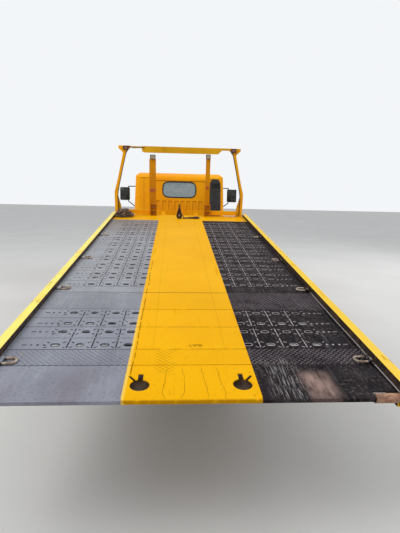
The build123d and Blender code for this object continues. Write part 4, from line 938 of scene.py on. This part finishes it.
class TOWTRUCK_OT_winch(bpy.types.Operator):
    """Winds the rope on the winch's drum and lays its hook and the heap of chain"""

    bl_idname = "towtruck.winch"
    bl_label = "Winch and Chain"

    def execute(self, context):
        turns = ((0.001, 0.034), (0.0035, 0.0405), (0.0063, 0.0425), (0.009, 0.0405), (0.0115, 0.034))
        lay = [(0.0085 + turn * 0.0125 + along, radius) for turn in range(13) for along, radius in turns]
        profile = [(0.0085, 0.0305), *lay, (0.1715, 0.0305)]
        built("winch_rope", [(add_turned, profile, (0, *DRUM), 36, (1, 0, 0), True)], "rope", "bed")
        lead = [(0.11, 5.085, -0.1005), (0.105, 5.04, -0.09), (0.09, 4.985, -0.056), (0.07, 4.951, -0.026),
                (0.06, 4.956, 0.012), (0.03, 4.952, 0.06), (0.005, 4.945, 0.09)]
        swept("rope_lead", lead, 0.006, "rope", "bed")
        bolts = []
        for x, way in ((-0.01, -1), (0.26, 1)):
            for angle in (math.radians(60 * step + 30) for step in range(6)):
                at = (x, DRUM[0] + 0.04 * math.cos(angle), DRUM[1] + 0.04 * math.sin(angle))
                bolts.append((add_hex, at, (way, 0, 0), 0.006, 0.006))
        bolts.append((add_hex, (-0.02, 4.908, 0.056), (0, -1, 0), 0.014, 0.01))
        built("winch_bolts", bolts, "zinc", "bed")
        hook = [(add_link, (0.075, 4.925, 0.012), 0.07, 0.05, 0.014, 16, 8, (1, 0.1, 0)),
                (add_bar, (0.11, 4.93, 0.014), (0.15, 4.935, 0.016), 0.011, 14)]
        built("hook_eye", hook, "winch", "bed")
        bend = [(0.14, 4.934, 0.016), (0.18, 4.93, 0.017), (0.225, 4.92, 0.018), (0.285, 4.92, 0.018),
                (0.31, 4.945, 0.018), (0.295, 4.975, 0.018), (0.255, 4.985, 0.018), (0.225, 4.97, 0.017)]
        swept("tow_hook", bend, 0.0135, "winch", "bed")
        links = built("chain_links", self.heap(), "chain", "bed")
        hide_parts("chain_pile")
        return {"FINISHED"}

    def heap(self):
        """Links thrown over the mound of the CAD's chain; the lowest lie flat on the plate."""
        draw, links = random.Random(7), []
        for _ in range(sizes().link_count):
            x = draw.uniform(-1.055, -0.795)
            top = 0.128 * min(1.0, (x + 1.078) / 0.055, (-0.772 - x) / 0.095)
            z = 0.008 + draw.random() * max(0.0, top - 0.014)
            u = draw.uniform(4.92, 5.12)
            way = Vector((draw.uniform(-1, 1), draw.uniform(-1, 1), draw.uniform(-0.35, 0.35)))
            flat = Vector((draw.uniform(-0.6, 0.6), draw.uniform(-0.6, 0.6), 1))
            if z < 0.03:
                way.z, flat = 0.0, Vector((0, 0, 1))
            links.append((add_link, (x, u, z), 0.052, 0.036, 0.0105, 12, 6, way, flat))
        return links


class TOWTRUCK_OT_tyres(bpy.types.Operator):
    """Puts tyres with grooves, tread blocks and ribbed sidewalls in place of the plain ones, and the wheel nuts"""

    bl_idname = "towtruck.tyres"
    bl_label = "Tyres and Nuts"

    def execute(self, context):
        for body, node, middles, along in TYRE_TABLE:
            bm = bmesh.new()
            for middle in middles:
                self.one_tyre(bm, (middle, along, AXLE_Z), sizes().groove_deep, sizes().block_count)
            piece = finished(node + "_treaded", bm, "rubber", body)
            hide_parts(node)
            self.nuts(body, middles, along)
        return {"FINISHED"}

    def one_tyre(self, bm, at, deep, count):
        half = TYRE_W / 2
        # Columns: distance in from the sidewall, radius; from the bead out to the tread
        wall = [(0.026, RIM_R + 0.0004), (0.026, RIM_R + 0.022), (0.009, RIM_R + 0.032), (0.004, 0.262),
                (0.0015, 0.27), (0.0, 0.3), (0.002, 0.318), (0.0005, 0.322), (0.0035, 0.33), (0.008, 0.348),
                (0.018, 0.366), (0.03, TYRE_R - deep)]
        lining = [(0.04, RIM_R + 0.0004), (0.018, 0.3), (0.04, 0.362)]
        outer = [(-half + a, r) for a, r in wall] + [(half - a, r) for a, r in reversed(wall)]
        inner = [(half - a, r) for a, r in lining] + [(-half + a, r) for a, r in reversed(lining)]
        add_turned(bm, outer + inner, at, 72, closed=True)
        length = FULL_TURN * TYRE_R / count
        # Columns: inner and outer edge across, top's radius, share of the pitch that the block fills, shift
        rows = ((-0.07, -0.041, TYRE_R - 0.0022, 0.8, 0.0), (-0.034, -0.003, TYRE_R - 0.0008, 0.88, 0.5),
                (0.003, 0.034, TYRE_R - 0.0008, 0.88, 0.0), (0.041, 0.07, TYRE_R - 0.0022, 0.8, 0.5),
                (-0.09, -0.076, 0.374, 0.5, 0.5), (0.076, 0.09, 0.374, 0.5, 0.0))
        for low, high, top, share, shift in rows:
            base = TYRE_R - deep - 0.003 if abs(low + high) < 0.14 else 0.345
            block = corners_matrix((low, -length * share / 2, base), (high, length * share / 2, top))
            row = bmesh.new()
            for step in range(count):
                turn = Matrix.Rotation(FULL_TURN * (step + shift) / count, 4, "X")
                bmesh.ops.create_cube(row, size=1, matrix=turn @ block)
            poured(bm, row, Matrix.Translation(at))

    def nuts(self, body, middles, along):
        side = math.copysign(1, middles[0])
        face = abs(middles[0]) + 0.11 if len(middles) == 1 else 0.762
        rows = []
        for angle in (math.radians(60 * step + 15) for step in range(6)):
            at = (side * face, along + 0.086 * math.cos(angle), AXLE_Z + 0.086 * math.sin(angle))
            rows.append((add_hex, at, (side, 0, 0), 0.0145, 0.02))
        outer, z = abs(middles[-1]), AXLE_Z + 0.01
        rows.append((add_bar, (side * (outer + 0.03), along + 0.187, z), (side * (outer + 0.06), along + 0.196, z),
                     0.004))
        built(body + "_nuts", rows, "zinc", body)


class TOWTRUCK_OT_cab_trim(bpy.types.Operator):
    """Fits window seals, wipers, handles, mirror glass, louvres, grille bars, lamp ribs and the blank plates"""

    bl_idname = "towtruck.cab_trim"
    bl_label = "Cab Trim"

    def execute(self, context):
        x0, x1, z0, z1 = REAR_WINDOW
        y = CAB_REAR - 0.002
        rear = [(x0, y, z0), (x1, y, z0), (x1, y, z1), (x0, y, z1)]
        screen = [(x, 3.975 - (z - 1.42) * SCREEN_LEAN, z) for x, z in SCREEN]
        for name, corners, bend in (("rear_window_seal", rear, 0.122), ("windscreen_seal", screen, 0.06)):
            swept(name, rounded_loop(corners, bend), sizes().seal_radius, "seal", "cab", closed=True)
        for side, name in ((-1, "left"), (1, "right")):
            leaning = [(side * (CAB_HALF - max(0.0, z - 1.45) * DOOR_LEAN - 0.003), y, z) for y, z in DOOR_WINDOW]
            swept("door_window_seal_" + name, rounded_loop(leaning, 0.045), 0.008, "seal", "door_" + name,
                  closed=True)
            self.door_handle(side, name)
        self.back_seams()
        self.wipers()
        glass = [(add_block, (low, 3.888, 1.69), (high, 3.896, 1.95), 0.003)
                 for low, high in both_sides(1.19, 1.38)]
        built("mirror_glass", glass, "mirror", "cab")
        self.ends()
        louvres = [(add_block, (0.645, 2.257, 1.965 + 0.0125 * step), (0.795, 2.2635, 1.97 + 0.0125 * step))
                   for step in range(7)]
        louvres += [(add_block, (0.611, 2.2585, z), (0.829, 2.2625, z + 0.022), 0.001) for z in (1.3, 1.62, 1.9)]
        built("intake_louvres", louvres, "trim", "cab")
        return {"FINISHED"}

    def door_handle(self, side, name):
        x, out, z = side * CAB_HALF, side * (CAB_HALF + 0.022), 1.32
        low, high = sorted((x, side * (CAB_HALF + 0.004)))
        rows = [(add_block, (low, 2.99, 1.29), (high, 3.15, 1.35), 0.0015),
                (add_bar, (out, 3.005, z), (out, 3.135, z), 0.009, 16),
                (add_bar, (x, 3.01, z), (out, 3.01, z), 0.007, 16),
                (add_bar, (x, 3.13, z), (out, 3.13, z), 0.007, 16),
                (add_bar, (x, 3.08, 1.265), (side * (CAB_HALF + 0.006), 3.08, 1.265), 0.011, 16)]
        built("door_handle_" + name, rows, "trim", "door_" + name)

    def back_seams(self):
        """Panel seams on the cab's back with a painted shadow under the roof's ledge, and dark lines round its
        pressed pockets: dirt with painted shade.
        """
        y = CAB_REAR + 0.001
        # Columns: start, end, radius
        seams = [((x, y, 0.96), (x, y, 2.135), 0.003) for x in (-0.722, 0.722)]
        seams += [((x0, y, 2.139), (x1, y, 2.139), 0.0035) for x0, x1 in ((-0.8, -0.6), (0.56, 0.8))]
        # A black bar along the lower edge of the roof's ledge: painted shadow
        seams.append(((-0.598, CAB_REAR, 2.0865), (0.558, CAB_REAR, 2.0865), 0.0035))
        built("cab_back_seams_and_ledge_shadow", [(add_bar, *seam) for seam in seams], "seal", "cab")
        # Dark bars inside the pockets' edges: dirt with painted shade in the recesses
        y, low, high, grooves = CAB_REAR + 0.011, 1.498, 1.685, []
        for step in range(10):
            x0, x1 = (-0.5535 + 0.123 * step + edge for edge in (-0.036, 0.036))
            grooves += [((x0, y, low), (x0, y, high)), ((x1, y, low), (x1, y, high)),
                        ((x0, y, high), (x1, y, high))]
        built("pocket_grooves", [(add_bar, *ends, 0.0045) for ends in grooves], "groove", "cab")

    def wipers(self):
        rows = []
        for pivot, tip in ((-0.55, 0.02), (0.15, 0.68)):
            foot = Vector((pivot, 3.995, 1.44))
            knee = Vector((pivot + 0.12, 3.995 - 0.06 * SCREEN_LEAN, 1.49))
            end = Vector((tip, 3.998 - 0.12 * SCREEN_LEAN, 1.52))
            rows += [(add_bar, foot - Vector((0, 0.02, 0)), foot + Vector((0, 0.012, 0)), 0.016, 16),
                     (add_bar, foot, knee, 0.006), (add_bar, knee, end, 0.0045),
                     (add_bar, end - Vector((0.24, 0.002, 0.012)), end + Vector((0.1, -0.002, 0.004)), 0.0055)]
        built("windscreen_wipers", rows, "trim", "cab")

    def ends(self):
        """Grille bars and sign plate in front, sign plate and lamp ribs behind."""
        bars = [(add_bar, (-0.5, 4.056, z), (0.5, 4.056, z), 0.004)
                for z in (0.735 + 0.026 * step - 0.0065 for step in range(5))]
        built("grille_bars", bars, "trim", "cab")
        for name, slot, low, high in (
                ("front_sign_plate", "cab_yellow", (-0.22, 4.1255, 0.43), (0.22, 4.1295, 0.54)),
                ("rear_sign_plate", "bed_yellow", (-0.22, -2.196, 0.435), (0.22, -2.1905, 0.545))):
            built(name, [(add_block, low, high, 0.0015)], "plate", "chassis")
        ribs = [(add_block, (low, -2.2275, 0.448), (high, -2.2235, 0.532), 0.001)
                for x in (0.62, 0.7, 0.78, 0.86) for low, high in both_sides(x - 0.004, x + 0.004)]
        built("tail_lamp_ribs", ribs, "trim", "chassis")


class TOWTRUCK_OT_seats(bpy.types.Operator):
    """Upholsters the cab's seats: filled cushions and backs with sewn channels and piping"""

    bl_idname = "towtruck.seats"
    bl_label = "Seats"

    def execute(self, context):
        # Columns: name, outer edges across, channels across
        for name, x0, x1, count in (("driver", -0.79, -0.29, 3), ("passenger", -0.24, 0.79, 6)):
            for part, profile, axis in (("cushion", CUSHION_PROFILE, 2), ("back", BACK_PROFILE, 1)):
                piece = self.filled("seat_%s_%s" % (part, name), profile, x0, x1)
                self.sew(piece, x0, x1, count, axis)
                self.piping(piece, axis)
                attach(piece, "cab")
                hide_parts("cab_seats")
        return {"FINISHED"}

    def filled(self, name, profile, x0, x1):
        """Cushion of a side profile, set in a little, then filled by a cloth simulation and held near its shape."""
        middle = [(x0 + x1) / 2] + [sum(point[axis] for point in profile) / len(profile) for axis in (0, 1)]
        bm = bmesh.new()
        face = bm.faces.new([bm.verts.new((x0, y, z)) for y, z in profile])
        drawn = bmesh.ops.extrude_face_region(bm, geom=[face])["geom"]
        bmesh.ops.translate(bm, vec=(x1 - x0, 0, 0), verts=[v for v in drawn if isinstance(v, bmesh.types.BMVert)])
        for vert in bm.verts:
            for axis in range(3):
                away = vert.co[axis] - middle[axis]
                vert.co[axis] -= math.copysign(min(SEAT_INSET, abs(away)), away)
        bmesh.ops.recalc_face_normals(bm, faces=bm.faces)
        bmesh.ops.bevel(bm, geom=list(bm.edges), offset=SEAT_EDGE, offset_type="OFFSET", affect="EDGES",
                        segments=3, profile=0.5, material=-1)
        mesh = bpy.data.meshes.new(name)
        bm.to_mesh(mesh)
        bm.free()
        piece = bpy.data.objects.new(name, mesh)
        bpy.context.scene.collection.objects.link(piece)
        remesh = piece.modifiers.new("remesh", "REMESH")
        remesh.mode, remesh.voxel_size = "VOXEL", SEAT_VOXEL
        self.apply(piece)
        start = [vert.co.copy() for vert in piece.data.vertices]
        cloth = piece.modifiers.new("filling", "CLOTH")
        cloth.settings.use_pressure = True
        cloth.settings.uniform_pressure_force = CLOTH_PRESSURE
        cloth.settings.effector_weights.gravity = 0
        for number in range(1, CLOTH_FRAMES + 1):
            bpy.context.scene.frame_set(number)
        self.apply(piece)
        bpy.context.scene.frame_set(1)
        for vert, at in zip(piece.data.vertices, start):
            move = vert.co - at
            vert.co = at + move * min(1.0, SEAT_SWELL / max(move.length, 1e-6))
        smooth = piece.modifiers.new("smooth", "SUBSURF")
        smooth.levels = smooth.render_levels = 1
        self.apply(piece)
        piece.data.materials.append(MATERIALS["cloth"])
        piece.data.shade_smooth()
        return piece

    def apply(self, piece):
        """Bakes the piece's modifiers into its mesh."""
        seen = piece.evaluated_get(bpy.context.evaluated_depsgraph_get())
        mesh = bpy.data.meshes.new_from_object(seen)
        old = piece.data
        piece.modifiers.clear()
        piece.data = mesh
        mesh.name = piece.name
        bpy.data.meshes.remove(old)

    def sew(self, piece, x0, x1, count, axis):
        """Draws in the sewn channels between the seat's panels."""
        lines = [x0 + (x1 - x0) * (step + 1) / (count + 1) for step in range(count)]
        for vert in piece.data.vertices:
            near = min(abs(vert.co.x - line) for line in lines)
            deep = SEAT_CHANNEL * math.exp(-(near / SEAT_CHANNEL) ** 2) * max(0.0, vert.normal[axis])
            vert.co -= vert.normal * deep
        piece.data.update()

    def piping(self, piece, axis):
        """Cord sewn into the seam round the top or front of a seat."""
        bm = bmesh.new()
        bm.from_mesh(piece.data)
        tree = BVHTree.FromBMesh(bm)
        bm.free()
        (x0, y0, z0), (x1, y1, z1) = ([end(vert.co[a] for vert in piece.data.vertices) for a in range(3)]
                                      for end in (min, max))
        if axis == 2:
            z0 = z1 = z1 - 0.028
            loop = [(x0, y0, z0), (x1, y0, z0), (x1, y1, z1), (x0, y1, z1)]
        else:
            y0, y1 = y0 + 0.045, y1 - 0.045
            loop = [(x0, y1, z0), (x1, y1, z0), (x1, y0, z1), (x0, y0, z1)]
        spots = [Vector(at).lerp(Vector(after), step / 12) for at, after in zip(loop, loop[1:] + loop[:1])
                 for step in range(12)]
        points = [tree.find_nearest(spot)[0] for spot in spots]
        swept(piece.name + "_piping", points, 0.0045, "trim", "cab", closed=True)


class TOWTRUCK_OT_chassis_fittings(bpy.types.Operator):
    """Adds rail bolts, spring clamps, the tank's cap and straps, and side reflectors"""

    bl_idname = "towtruck.chassis_fittings"
    bl_label = "Chassis Fittings"

    def execute(self, context):
        bolts = [(add_hex, (side * 0.35, -2.05 + 0.175 * step, z), (side, 0, 0), 0.009, 0.008)
                 for side in (-1, 1) for step in range(34) for z in (0.605, 0.735)]
        built("rail_bolts", bolts, "black", "chassis")
        clamps = []
        for x, y, z0, z1 in ((0.386, FRONT_Y, 0.39, 0.512), (0.445, REAR_Y, 0.33, 0.58)):
            corners = [(side, along, across) for side in (-1, 1) for along in (-0.045, 0.045)
                       for across in (-0.04, 0.04)]
            for side, along, across in corners:
                foot, head = ((side * (x + across), y + along, z) for z in (z0, z1))
                clamps += [(add_bar, foot, head, 0.007), (add_hex, foot, (0, 0, -1), 0.012, 0.012)]
        built("spring_clamps", clamps, "rust", "chassis")
        cap = [(0, 0), (0, 0.045), (0.02, 0.045), (0.028, 0.036), (0.028, 0)]
        tank = [(add_turned, cap, (-0.73, 1.1, 0.716), 32, (0, 0, 1))]
        tank += [(add_block, (-0.834, y, 0.43), (-0.826, y + 0.03, 0.67), 0.002) for y in (1.07, 1.6)]
        built("tank_cap_and_straps", tank, "trim", "chassis")
        marks = [(add_block, (low, y - 0.04, 0.64), (high, y + 0.04, 0.68), 0.002)
                 for y in (-0.2, 0.95, 2.1) for low, high in both_sides(0.92, 0.926)]
        built("side_reflectors", marks, "lamp_amber", "chassis")
        return {"FINISHED"}


class TOWTRUCK_PT_panel(bpy.types.Panel):
    """Lists the truck's making steps in the sidebar"""

    bl_label = "Tow Truck"
    bl_idname = "TOWTRUCK_PT_panel"
    bl_space_type = "VIEW_3D"
    bl_region_type = "UI"
    bl_category = "Tow Truck"

    def draw(self, context):
        for group in (context.scene.tow_truck_sizes, context.scene.tow_truck_colours):
            for name in group.bl_rna.properties.keys():
                if name not in ("rna_type", "name"):
                    self.layout.prop(group, name)
        for step in STEPS:
            self.layout.operator(step.bl_idname)


STEPS = (TOWTRUCK_OT_stage, TOWTRUCK_OT_paint, TOWTRUCK_OT_deck_marks, TOWTRUCK_OT_bed_fittings, TOWTRUCK_OT_winch,
         TOWTRUCK_OT_tyres, TOWTRUCK_OT_cab_trim, TOWTRUCK_OT_seats, TOWTRUCK_OT_chassis_fittings)
CLASSES = (TowTruckSizes, TowTruckColours) + STEPS + (TOWTRUCK_PT_panel,)


def register():
    for kind in CLASSES:
        bpy.utils.register_class(kind)
    bpy.types.Scene.tow_truck_sizes = bpy.props.PointerProperty(type=TowTruckSizes)
    bpy.types.Scene.tow_truck_colours = bpy.props.PointerProperty(type=TowTruckColours)


def unregister():
    del bpy.types.Scene.tow_truck_sizes
    del bpy.types.Scene.tow_truck_colours
    for kind in reversed(CLASSES):
        bpy.utils.unregister_class(kind)


def main():
    register()
    bpy.ops.towtruck.stage()
    bpy.ops.towtruck.paint()
    bpy.ops.towtruck.deck_marks()
    bpy.ops.towtruck.bed_fittings()
    bpy.ops.towtruck.winch()
    bpy.ops.towtruck.tyres()
    bpy.ops.towtruck.cab_trim()
    bpy.ops.towtruck.seats()
    bpy.ops.towtruck.chassis_fittings()


if __name__ == "__main__":
    main()
